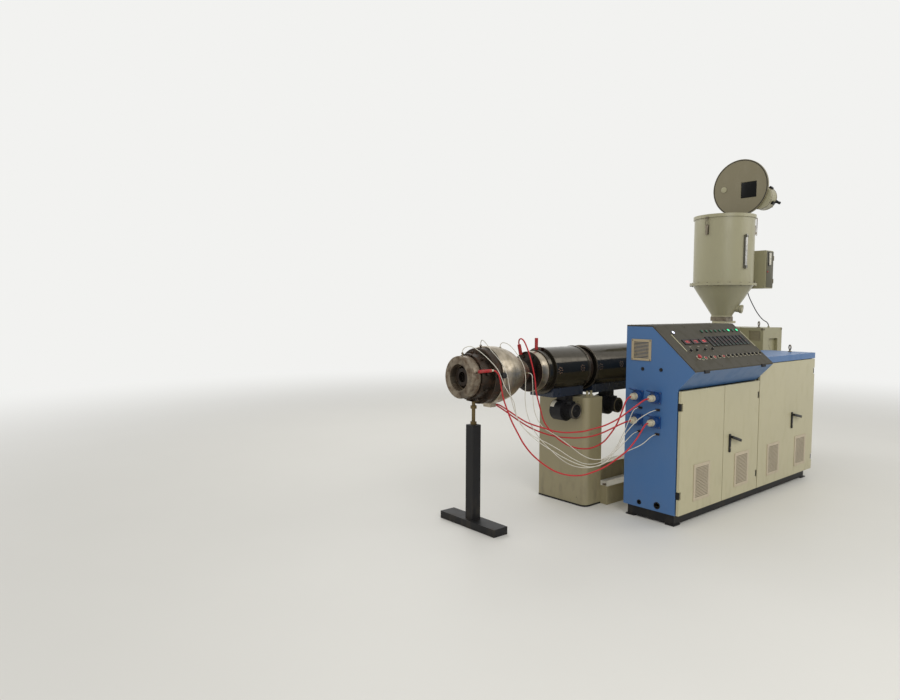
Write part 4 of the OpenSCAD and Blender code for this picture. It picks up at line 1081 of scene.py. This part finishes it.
@dataclass(frozen=True)
class Cabinet(SubAssembly):
    """Door handles, plugs, socket rings, cable grommets and the screws of the cabinet's sheets."""

    louvres: tuple[tuple[str, tuple[float, ...]], ...] = (
        ("left_door", (178,)), ("middle_door", (742,)), ("right_door", (1258, 1756)))
    handles: tuple[tuple[str, str, float, float, float], ...] = (
        ("middle_door", "door_mid_handle", 658, 421, 17), ("right_door", "door_right_handle", 1684, 478, 12))
    door_face: float = -27.0
    louvre_face: float = -31.0
    plate_face: float = -35.0
    lever_back: float = -45.0
    spindle_rise: float = 112.0
    sockets: tuple[Flat, ...] = ((158, 850), (295, 850), (158, 685), (295, 685))
    socket_flange: float = -10.0
    socket_mouth: float = -30.0
    plug_foot: float = -44.0
    rib_x: float = -63.0
    rib_reach: float = 21.6
    rib_count: int = 12
    blind_holes: tuple[Flat, ...] = ((267, 1037), (126, 1040))
    cable_holes: tuple[Point, ...] = ((272, 112, 0.0), (133, 118, 7.0))
    cabinet_back: float = 403.0
    console_top: float = 1335.0
    motor_top: float = 1080.0

    def build(self, shop: Workshop) -> None:
        """Fits the cabinet's pieces, doors first."""
        for body, name, x, z0, droop_deg in self.handles:
            self.handle(shop, body, name, x, z0, droop_deg)
        for body, xs in self.louvres:
            seats = [shop.datum.on(Side.FRONT, x + dx, self.louvre_face, z)
                     for x in xs for dx in (10, 106, 202) for z in (160, 390)]
            shop.fit(body + "_louvre_screws", VENT, screws(seats, size=0.8), body)
        self.end_panel(shop)
        self.plugs(shop)
        self.sheet_screws(shop)

    def handle(self, shop: Workshop, body: str, name: str, x: float, z0: float, droop_deg: float) -> None:
        """Fits a door handle in place of its plain node: plate, boss, lever and key barrel.

        Args:
            shop: the workshop.
            body: the door that it rides on.
            name: the node that it stands for.
            x: the spindle's place along the cabinet.
            z0: the plate's foot.
            droop_deg: how far the lever hangs below level.
        """
        on = shop.datum.on
        droop = Matrix.Rotation(-math.radians(droop_deg), 4, "Z")
        plate = prism(rect(24, 132, 7), 8, soft=1.6)
        lever = prism(rect(148, 20, 8, middle=(64, 0), steps=5), 10, soft=2.6)
        boss = lathe(((0, 8), (11.6, 8), (11.6, 10), (9.4, 12), (9, 18.4), (0, 18.4)), 28)
        cap = lathe(((0, 13.4), (5, 13.2), (8, 11.6), (9, 9.6), (9, 9), (0, 9)), 28)
        spindle = z0 + self.spindle_rise
        grip = on(Side.FRONT, x, self.lever_back, spindle)
        shop.fit(name + "_lever", BLACK_PLASTIC, [
            (plate, on(Side.FRONT, x, self.door_face, z0 + 66)),
            (boss, on(Side.FRONT, x, self.door_face, spindle)), (lever, grip @ droop), (cap, grip)],
            body, instead=(name,))
        key = lathe(((0, 9.4), (1.2, 9.4), (1.6, 10.4), (6.4, 10.4), (7.2, 9.6), (7.4, 7.6), (0, 7.6)), 28)
        shop.fit(name + "_lock", DULL_STEEL, [(key, on(Side.FRONT, x, self.door_face, z0 + 34))], body)
        ends = [on(Side.FRONT, x, self.plate_face, z) for z in (z0 + 10, z0 + 122)]
        shop.fit(name + "_screws", DARK_IRON, screws(ends, size=0.7), body)

    def end_panel(self, shop: Workshop) -> None:
        """Fits the end panel's screws, blind plugs, cable grommets and socket rings."""
        on = shop.datum.on
        grille = [on(Side.END, -6, y, z) for y in (211, 349) for z in (1102, 1231)]
        flanges = [on(Side.END, self.socket_flange, y + dy, z + dz)
                   for y, z in self.sockets for dy in (-34, 34) for dz in (-34, 34)]
        shop.fit("end_panel_screws", DULL_STEEL, screws(grille) + screws(flanges, size=0.7))
        blind = lathe(((0, -2), (0, 1.0), (5.4, 1.2), (7.4, 3.2), (10.6, 3.4), (12.4, 2.2), (12.8, -0.4),
                       (7.6, -2)), 36)
        holes = [on(Side.END, 0, y, z) for y, z in self.blind_holes]
        shop.fit("blind_plugs", BLACK_PLASTIC, each(holes, blind))
        # Partly a rubber grommet and partly painted shade: its black sleeve lines each cable hole through
        # the panel's full depth, which keeps the bore dark.
        lining = ((12.9, -18), (12.2, -18), (12.2, 2.0), (13.4, 2.9), (16.0, 2.6), (17.0, 1.4), (16.8, -0.4),
                  (12.9, -0.4), (12.9, -18))
        grommets = [(lathe([(r + more, h) for r, h in lining], 40), on(Side.END, 0, y, z))
                    for y, z, more in self.cable_holes]
        shop.fit("cable_grommets", BLACK_PLASTIC, grommets)
        collar = lathe(((31, -6), (33.6, -6), (34.2, -5), (34.2, -2), (33.4, -1), (31, -1), (31, -6)), 40)
        mouths = [on(Side.END, self.socket_mouth, y, z) for y, z in self.sockets]
        shop.fit("socket_rings", BLUE_PLASTIC, each(mouths, collar))

    def plugs(self, shop: Workshop) -> None:
        """Fits the plugs: a ribbed grip, a gland nut and the lead's sleeve, in place of the plain node."""
        datum = shop.datum
        grip = lathe(((0, 0), (24, 0), (24, 4.6), (22.6, 6.4), (21.4, 8), (21.4, 30), (19, 34.4),
                      (15.6, 36), (14.2, 36.4), (14.2, 39), (12.6, 40), (12.6, 45.8), (11, 47.6),
                      (7.2, 47.9), (0, 47.9)), 48)
        rib = prism(rect(3.2, 21, 1.2), 1.5, soft=0.6, base=-0.8)
        nut = prism(ngon(6, 15.4), 42.6, soft=0.8, base=36.6)
        shapes: list[Placed] = []
        for y, z in self.sockets:
            shapes += each([datum.on(Side.END, self.plug_foot, y, z)], grip, nut)
            for k in range(self.rib_count):
                c, s = arm(360 * k / self.rib_count)
                place = (self.rib_x, y + self.rib_reach * c, z + self.rib_reach * s)
                shapes.append((rib, datum.seat(place, (0, c, s), (1, 0, 0))))
        shop.fit("plug_bodies", CREAM_PLASTIC, shapes, instead=("power_plugs",))

    def sheet_screws(self, shop: Workshop) -> None:
        """Fits the screws of the rear panels and the top sheets."""
        on = shop.datum.on
        rear = [on(Side.BACK, x + dx, self.cabinet_back, z)
                for x in (60, 590) for dx in (15, 225, 435) for z in (153, 495, 838)]
        rear += [on(Side.BACK, x, self.cabinet_back, z) for x in (1165, 1605, 2045) for z in (153, 555, 958)]
        shop.fit("rear_panel_screws", DULL_STEEL, screws(rear))
        tops = [on(Side.TOP, x, y, self.console_top) for x in range(20, 1081, 265) for y in (225, 378)]
        shop.fit("console_top_screws", DULL_STEEL, screws(tops, size=0.8))
        edge = [on(Side.TOP, x, y, self.motor_top) for x in range(1125, 2086, 240) for y in (-5, 380)]
        shop.fit("motor_top_screws", DULL_STEEL, screws(edge, size=0.8))


@dataclass(frozen=True)
class BarrelLine(SubAssembly):
    """Cover vents and bands on the barrel, the blowers' trim, and the fasteners of the base and stand."""

    vents: tuple[Flat, ...] = ((-324, 176.5), (-79, 175), (133, 176), (390, 173.5))
    vent_reach: float = 20.0
    vent_petals: int = 7
    cover_radius: float = 165.0
    collar_radius: float = 169.0
    collar_xs: tuple[float, ...] = (-361, 0, 100, 2115)
    lip_xs: tuple[float, ...] = (8, 95)
    flange_front: float = -423.0
    blower_xs: tuple[float, ...] = (-205, 290)
    blower_front: float = 666.0
    blower_z: float = 715.0
    drum_middle: float = 836.0
    drum_reach: float = 95.0
    drum_growth: float = 28.0
    gearbox_front: float = 575.0
    gearbox_end: float = 2450.0
    window_y: float = 659.0
    hatch_middle: Flat = (2660.0, 1062.0)
    stand_foot: Flat = (-105.0, 655.0)
    stand_corner: float = 45.8

    def build(self, shop: Workshop) -> None:
        """Fits the barrel's pieces from the die's end on."""
        self.covers(shop)
        self.blowers(shop)
        self.gearbox(shop)
        self.base(shop)

    def covers(self, shop: Workshop) -> None:
        """Fits the pressed vents, the covers' screws and bright edges, and the band round the flange."""
        datum = shop.datum
        petals = [(0.0, 0.0), *ngon(self.vent_petals, self.vent_reach)]
        seats = [datum.round(x + dx, angle + math.degrees(rise / self.cover_radius), self.cover_radius)
                 for x, angle in self.vents for dx, rise in petals]
        edge = lathe(((5.0, -0.8), (5.0, 1.0), (6.4, 0.6), (7.2, -0.8), (5.0, -0.8)), 20)
        shop.fit("cover_vents", MIRROR, each(seats, edge))
        dimple = lathe(((0, 1.2), (3.0, 1.0), (4.9, 0.2), (4.9, -0.8), (0, -0.8)), 16)
        # the dimples' tan colour is a painted reflection of the glints in the vents
        shop.fit("vent_dimples", DIMPLE_REFLECTION, each(seats, dimple))
        ends = [datum.round(x, a, self.collar_radius) for x in self.collar_xs for a in range(20, 360, 40)]
        shop.fit("cover_screws", DARK_IRON, screws(ends, size=0.75))
        lip = lathe(((158, 0), (169.4, 0), (169.6, 1.2), (169.2, 3), (158, 3), (158, 0)), 96)
        lips = [datum.on(Side.END, x, *datum.barrel) for x in self.lip_xs]
        shop.fit("cover_lips", DULL_STEEL, each(lips, lip))
        band = lathe(((140.4, 0), (142.8, 0), (143.2, 1.2), (142.6, 3), (142.6, 63), (143.2, 64.8),
                      (142.8, 66), (140.4, 66), (140.4, 0)), 96)
        shop.fit("flange_band", TURNED, [(band, datum.on(Side.END, self.flange_front, *datum.barrel))])

    def blowers(self, shop: Workshop) -> None:
        """Fits the blowers' finger guards, rims and blank plates."""
        mouths = [shop.datum.on(Side.FRONT, x, self.blower_front, self.blower_z) for x in self.blower_xs]
        wires = [lathe(((r - 1.4, 1.4), (r, 3.0), (r + 1.4, 1.4), (r, 0), (r - 1.4, 1.4)), 36)
                 for r in (16, 30, 44)]
        spokes = [prism(rect(102, 2.6), 2.6, base=0.4), prism(rect(2.6, 102), 2.6, base=0.4)]
        hub = lathe(((0, 3.4), (9, 3.2), (10, 2.2), (10, 0), (0, 0)), 24)
        shop.fit("blower_guards", BLACK, each(mouths, *wires, *spokes, hub))
        rim = lathe(((46, 0), (57, 0), (57.5, 1.4), (55, 2.6), (48, 2.2), (46, 0.6)), 40)
        shop.fit("blower_rims", DULL_STEEL, each(mouths, rim))
        strip = prism(rect(34, 11.6), 1.2, base=-1.6)
        labels: list[Placed] = []
        for x in self.blower_xs:
            for turn in range(122, 159, 9):
                c, s = arm(turn)
                # the drum is a snail: its radius grows by drum_growth to drum_reach in one turn
                reach = self.drum_reach - self.drum_growth * (1 - (turn - 90) / 360)
                place = (x + reach * c, self.drum_middle, self.blower_z + reach * s)
                labels.append((strip, shop.datum.seat(place, (c, 0, s), (s, 0, -c))))
        shop.fit("blower_plates", WHITE_PLASTIC, labels)

    def gearbox(self, shop: Workshop) -> None:
        """Fits the gearbox cover's bolts, louvred window and hatch."""
        on = shop.datum.on
        bolts = [on(Side.FRONT, x, self.gearbox_front, z) for x in (2464, 2836) for z in (720, 1254)]
        bolts += [on(Side.END, self.gearbox_end, y, z) for y in (589, 1171) for z in (720, 1254)]
        shop.fit("gearbox_screws", DULL_STEEL, hex_bolts(bolts))
        blade = prism(rect(100, 5.2), 4.5, soft=0.8)
        slats = [on(Side.END, self.gearbox_end + 12, self.window_y, 1152 + 9 * i) for i in range(9)]
        # Painted shade: the sheet behind the slats and the slats themselves take the base's khaki, a little
        # darker than the cover's paint, for the shade in the louvred window.
        back = (prism(rect(110, 93), 0.8), on(Side.END, self.gearbox_end + 12, self.window_y, 1189.5))
        shop.fit("gearbox_window", KHAKI, [back, *each(slats, blade)])
        hatch = prism(rect(186, 196, 6), 3, soft=1.0, rim=9, sink=1.2)
        x, z = self.hatch_middle
        shop.fit("gearbox_hatch", GEAR_COVER, [(hatch, on(Side.FRONT, x, self.gearbox_front + 30, z))])
        hatch_screws = [on(Side.FRONT, x + dx, self.gearbox_front + 27, z + dz) for dx in (-88, 88)
                        for dz in (-93, 93)]
        shop.fit("gearbox_hatch_screws", DULL_STEEL, screws(hatch_screws, size=0.8))

    def base(self, shop: Workshop) -> None:
        """Fits the base's panel screws and foot bolts, the stand's screws, and a black band round the
        stand's foot that is painted shade for the dark gap under it.
        """
        on = shop.datum.on
        covers = [on(Side.BACK, x + dx, 1169, z)
                  for x in (1300, 2100) for dx in (20, 360, 700) for z in (213, 418, 625)]
        shop.fit("base_panel_screws", DULL_STEEL, screws(covers, size=1.3))
        feet = [on(Side.TOP, x, y, 138) for x in (100, 1160) for y in (640, 1120)]
        shop.fit("base_bolts", DULL_STEEL, hex_bolts(feet, 24, 14))
        seats = [on(Side.END, self.stand_foot[0], y, z) for y in (735, 1070) for z in (60, 420, 770)]
        shop.fit("stand_screws", DULL_STEEL, screws(seats))
        # painted shade: a black band at the stand's foot stands for the dark gap there
        corner = [(45 + self.stand_corner * c, 45 + self.stand_corner * s)
                  for c, s in map(arm, range(180, 271, 10))]
        outline = [(180.8, -0.8), (180.8, 450.8), (-0.8, 450.8), *corner]
        shop.fit("stand_foot_shade_band", BLACK, [(prism(outline, 13), on(Side.TOP, *self.stand_foot, 0))])


@dataclass(frozen=True)
class DieHead(SubAssembly):
    """Screws of the die, thermocouple nuts and the grip of its plug."""

    probes: tuple[Point, ...] = ((-1100, 90, 150), (-940, 90, 196), (-760, 90, 176), (-600, 178, 108))
    grip: Point = (-928, 175.5, 194.6)
    groove: Flat = (-1018, 163.5)
    bolt_circle: Flat = (-975, 167)
    sleeve_mouth: Point = (-1012, 704, 1050)
    sleeve_aim: Point = (1, -0.12, 0)

    def build(self, shop: Workshop) -> None:
        """Fits the die's pieces."""
        datum = shop.datum
        x, reach = self.groove
        caps = [datum.round(x, a, reach) for a in range(10, 360, 40)]
        head = lathe(((0, -1.4), (5.2, -1.4), (5.4, 1.8), (9.6, 2), (10.8, 1), (11, -1), (0, -2)), 28)
        shop.fit("groove_screws", DARK_IRON, each(caps, head))
        nut = prism(ngon(6, 8.6), 7.5, soft=0.8)
        shop.fit("probe_nuts", DULL_STEEL, each((datum.round(*place) for place in self.probes), nut))
        x, reach = self.bolt_circle
        bolts = [datum.face(x, a, reach) for a in range(0, 360, 60)]
        shop.fit("ring_bolts", DARK_IRON, screws(bolts, CAP_SCREW, 0.9))
        knob = lathe(((0, 25), (14, 24.8), (18.4, 23), (20, 19.6), (20, 14), (19.4, 13), (20, 12), (20, 3),
                      (18, 0.4), (9.4, 0), (9.4, -8), (0, -8)), 40)
        shop.fit("ring_plug_grip", BLACK_PLASTIC, [(knob, datum.round(*self.grip))])
        tip = lathe(((0, -2), (8.2, -2), (8.8, 0), (8.8, 7), (7.0, 9), (6.6, 19), (5.7, 21), (0, 21)), 28)
        mouth = datum.seat(self.sleeve_mouth, self.sleeve_aim, (0, 0, 1))
        shop.fit("sleeve_tip", CREAM_PLASTIC, [(tip, mouth)])


@dataclass(frozen=True)
class HopperDryer(SubAssembly):
    """Flange bolts, lid details, sight tube, control box details and the cleaning port of the hopper."""

    rim_bolts: tuple[float, ...] = tuple(range(0, 360, 20))
    bolt_reach: float = 291.0
    flange_top: float = 1691.0
    flange_under: float = 1669.0
    lid_middle: Flat = (880.0, 2635.0)
    fan_axis: Flat = (695.0, 2525.0)
    fan_end: float = 2813.0
    fan_reach: float = 112.0
    hoop_xs: tuple[float, ...] = (2540, 2640)
    box_turns: tuple[float, ...] = (0.75, 2.1)
    gland_foot: Point = (2655, 594, 2486)
    gland_aim: Point = (0.2, -0.86, -0.46)
    sight: Flat = (2136.0, 616.0)
    sight_foot: float = 1829.0
    sight_head: float = 2128.0
    box_front: float = 596.0
    box_end: float = 2503.0
    port_turn: float = -75.0
    port_tilt: float = 98.0
    port_z: float = 1472.0

    def build(self, shop: Workshop) -> None:
        """Fits the hopper's pieces from the flange up."""
        self.flange(shop)
        self.lid(shop)
        self.sight_tube(shop)
        self.control_box(shop)
        self.cleaning_port(shop)

    def flange(self, shop: Workshop) -> None:
        """Fits the bolts and nuts of the flange between cone and cylinder."""
        datum = shop.datum
        upper = [datum.ring(a, self.bolt_reach, self.flange_top) for a in self.rim_bolts]
        shop.fit("flange_bolts", DULL_STEEL, hex_bolts(upper, 11, 6))
        lower = [datum.ring(a, self.bolt_reach, self.flange_under) @ UPSIDE_DOWN for a in self.rim_bolts]
        shop.fit("flange_nuts", DULL_STEEL, hex_bolts(lower, 11, 6))

    def lid(self, shop: Workshop) -> None:
        """Fits the lid's seal, window and blank disc, and its blower's guard, bands, boxes and gland."""
        datum = shop.datum
        on = datum.on
        seal = lathe(((262, -1), (262, 1.8), (264, 2.8), (268.4, 2.8), (270, 1.8), (270, -1), (262, -1)), 96)
        shop.fit("lid_seal", SEAL, [(seal, on(Side.END, 2510, *self.lid_middle))], "lid")
        window = prism(rect(150, 150, 5), 2.5, soft=0.6)
        shop.fit("lid_window", WINDOW, [(window, on(Side.END, 2516, 792.5, 2607.5))], "lid")
        disc = lathe(((0, 2.4), (24, 2.2), (28, 1.4), (29, 0.4), (29, -1), (0, -1)), 48)
        shop.fit("lid_disc", HOPPER, [(disc, on(Side.END, 2507, 1041, 2635))], "lid")
        fan = on(Side.FAR, self.fan_end, *self.fan_axis)
        grid = [lathe(((r - 1.2, 1.2), (r, 2.4), (r + 1.2, 1.2), (r, 0), (r - 1.2, 1.2)), 32)
                for r in (8, 16, 24)]
        shop.fit("lid_blower_guard", BLACK, each([fan], *grid), "lid")
        hoop = lathe(((112.2, 4), (114, 5), (114, 12), (112.2, 13), (112.2, 4)), 56)
        bands = each((on(Side.FAR, x, *self.fan_axis) for x in self.hoop_xs), hoop)
        shop.fit("lid_blower_band", DULL_STEEL, bands, "lid")
        foot = prism(rect(30, 46, 5), 16, soft=2)
        y, z = self.fan_axis
        spots = [datum.seat((2600, y - self.fan_reach * math.sin(t), z + self.fan_reach * math.cos(t)),
                            (0, -math.sin(t), math.cos(t)), (1, 0, 0)) for t in self.box_turns]
        shop.fit("lid_blower_boxes", BLACK_PLASTIC, each(spots, foot), "lid")
        gland = lathe(((0, -12), (17, -12), (17, 8), (13, 11), (12.4, 36), (14, 37), (14, 44), (9, 46),
                       (0, 46)), 32)
        outlet = datum.seat(self.gland_foot, self.gland_aim, (1, 0, 0))
        shop.fit("lid_blower_gland", BLACK_PLASTIC, [(gland, outlet)], "lid")

    def sight_tube(self, shop: Workshop) -> None:
        """Fits the sight glass: a bright tube with pointed ends."""
        tube = lathe(((0, 0), (12.4, 0), (12.4, 299), (0, 299)), 36)
        cap = lathe(((0, 16), (1.5, 15.6), (9, 5), (13.4, 2.4), (14, 0), (14, -4), (12.4, -4), (0, -4)), 36)
        low, high = (shop.datum.on(Side.TOP, *self.sight, z) for z in (self.sight_foot, self.sight_head))
        shop.fit("sight_tube", CHROME, [(tube, low), (cap, high), (cap, low @ UPSIDE_DOWN)])

    def control_box(self, shop: Workshop) -> None:
        """Fits the control box's door, rocker switch, lamp, hinges, stud and screws."""
        on = shop.datum.on
        door = prism(rect(141, 346, 4), 2.6, soft=0.8)
        shop.fit("box_door", BOX_DOOR, [(door, on(Side.FRONT, 2581.5, self.box_front, 1829))])
        frame = prism(rect(56, 134, 4), 3.2, soft=0.8)
        shop.fit("rocker_frame", BLACK_PLASTIC, [(frame, on(Side.FRONT, 2568, 593.4, 1930))])
        rocker = prism(rect(36, 118, 4), 7, soft=1.4, rim=5, sink=1.5)
        key = prism(rect(22, 100, 3), 9.4, soft=2.0)
        seat = on(Side.FRONT, 2573, 593.4, 1930)
        shop.fit("rocker_plate", WHITE_PLASTIC, each([seat], rocker, key))
        dot = lathe(((0, 10.2), (4.6, 10.1), (5.2, 9.2), (0, 9.2)), 24)
        shop.fit("rocker_dot", BLACK_PLASTIC, [(dot, seat)])
        lamp = [lathe([(r * 0.55, h * 0.8) for r, h in profile], 28) for profile in (BEZEL, LENS)]
        shop.fit("box_lamp", RED_PLASTIC, each([on(Side.FRONT, 2533, 593.6, 1806)], *lamp))
        hinge = lathe(((0, -22), (5, -22), (5, 22), (0, 22)), 20)
        shop.fit("box_hinges", DULL_STEEL, each((on(Side.TOP, 2655, 594, z) for z in (1720, 1940)), hinge))
        stud = lathe(((0, 10), (3, 9.4), (4, 7), (4, 3), (9, 2.4), (10, 0.6), (10, -0.6), (0, -0.6)), 28)
        heads = [on(Side.END, self.box_end, y, z) for y in (616, 780) for z in (1668, 1990)]
        knob = (stud, on(Side.END, self.box_end, 706, 1711))
        shop.fit("box_stud", CHROME, [knob, *screws(heads, size=0.9)])

    def cleaning_port(self, shop: Workshop) -> None:
        """Fits the collar and plug in the cone's cleaning port."""
        turn = Matrix.Rotation(math.radians(self.port_turn), 4, "Z")
        tilt = Matrix.Rotation(math.radians(self.port_tilt), 4, "Y")
        mouth = Matrix.Translation(shop.datum.at(*shop.datum.hopper, self.port_z)) @ (turn @ tilt)
        ring = lathe(((0, 181), (24, 181), (24, 185), (34, 185), (34, 188), (40, 187), (41, 184), (41, 176),
                      (0, 176)), 40)
        shop.fit("port_cap", HOPPER, [(ring, mouth)])
        plug = lathe(((0, 187), (14, 186.6), (20, 185.2), (22, 182), (0, 182)), 36)
        shop.fit("port_plug", CREAM_PLASTIC, [(plug, mouth)])


NODE_FINISH = {
    CREAM: ("cabinet_body", "door_left", "door_mid", "door_right", "panel_trim_strips", "feed_throat"),
    BLUE: ("console_end_panel", "console_shell", "motor_section_top"),
    KHAKI: ("machine_base", "barrel_stand"),
    GEAR_COVER: ("gearbox_cover",),
    HOPPER: ("hopper_cone", "hopper_cylinder", "lid_blower", "dryer_control_box"),
    SHADED_LID: ("hopper_lid",),
    BLACK: ("cabinet_plinth", "panel_clips", "door_hinges", "die_post", "cooling_blowers"),
    PANEL: ("control_panel",),
    VENT: ("door_left_louvre", "door_mid_louvre", "door_right_louvres"),
    GRILLE: ("end_vent_grille",),
    TROUGH: ("barrel_trough",),
    MIRROR: ("barrel_covers", "end_heater_band"),
    TURNED: ("die_cone",),
    DULL_STEEL: ("slide_gate", "lifting_eye_bolts", "toggle_latches"),
    RUSTY: ("die_ring", "barrel", "barrel_clamp_ring", "probe_sockets"),
    BUSH_STEEL: ("die_bush",),
    DARK_IRON: ("die_mandrel", "barrel_flange"),
    BRASS: ("jack_screw",),
    RED_PLASTIC: ("heater_terminal_covers",),
    BLUE_PLASTIC: ("power_sockets",),
    GLASS: ("sight_glass",),
}


WELD_MM = 0.01
FLAT_DEG = 0.8
EDGE_MM = 1.2
EDGE_DEG = 32.0


def dress(nodes: dict[str, bpy.types.Object]) -> None:
    """Gives each node its finish and softens its edges.

    Args:
        nodes: the CAD nodes by name.
    """
    for finish, names in NODE_FINISH.items():
        for name in names:
            node = nodes[name]
            node.data.materials.clear()
            node.data.materials.append(finish.material())
            weld = node.modifiers.new("weld", "WELD")
            weld.merge_threshold = WELD_MM * MM
            flat = node.modifiers.new("flat_faces", "DECIMATE")
            flat.decimate_type = "DISSOLVE"
            flat.angle_limit = math.radians(FLAT_DEG)
            soft = node.modifiers.new("soft_edges", "BEVEL")
            soft.width = EDGE_MM * MM
            soft.segments = 2
            soft.limit_method = "ANGLE"
            soft.angle_limit = math.radians(EDGE_DEG)
            even = node.modifiers.new("even_normals", "WEIGHTED_NORMAL")
            even.keep_sharp = True
            LOG.info("node %s: %s", name, finish.name)


def main() -> None:
    """Builds the looks, group by group."""
    logging.basicConfig(level=logging.INFO, format="%(message)s")
    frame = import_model()
    datum = Datum(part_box("console_end_panel")[0].x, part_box("cabinet_body")[0].y)
    PhotoCamera().make(datum)
    for lead in LEADS:
        lead.run(datum)
    Studio().build(datum)
    dress(frame["nodes"])
    shop = Workshop(datum)
    for group in (ControlPanel(), Cabinet(), BarrelLine(), DieHead(), HopperDryer()):
        group.build(shop)
    LOG.info("%d pieces and %d leads fitted", shop.count, len(LEADS))
    bpy.context.scene.view_settings.view_transform = "Standard"


if __name__ == "__main__":
    main()
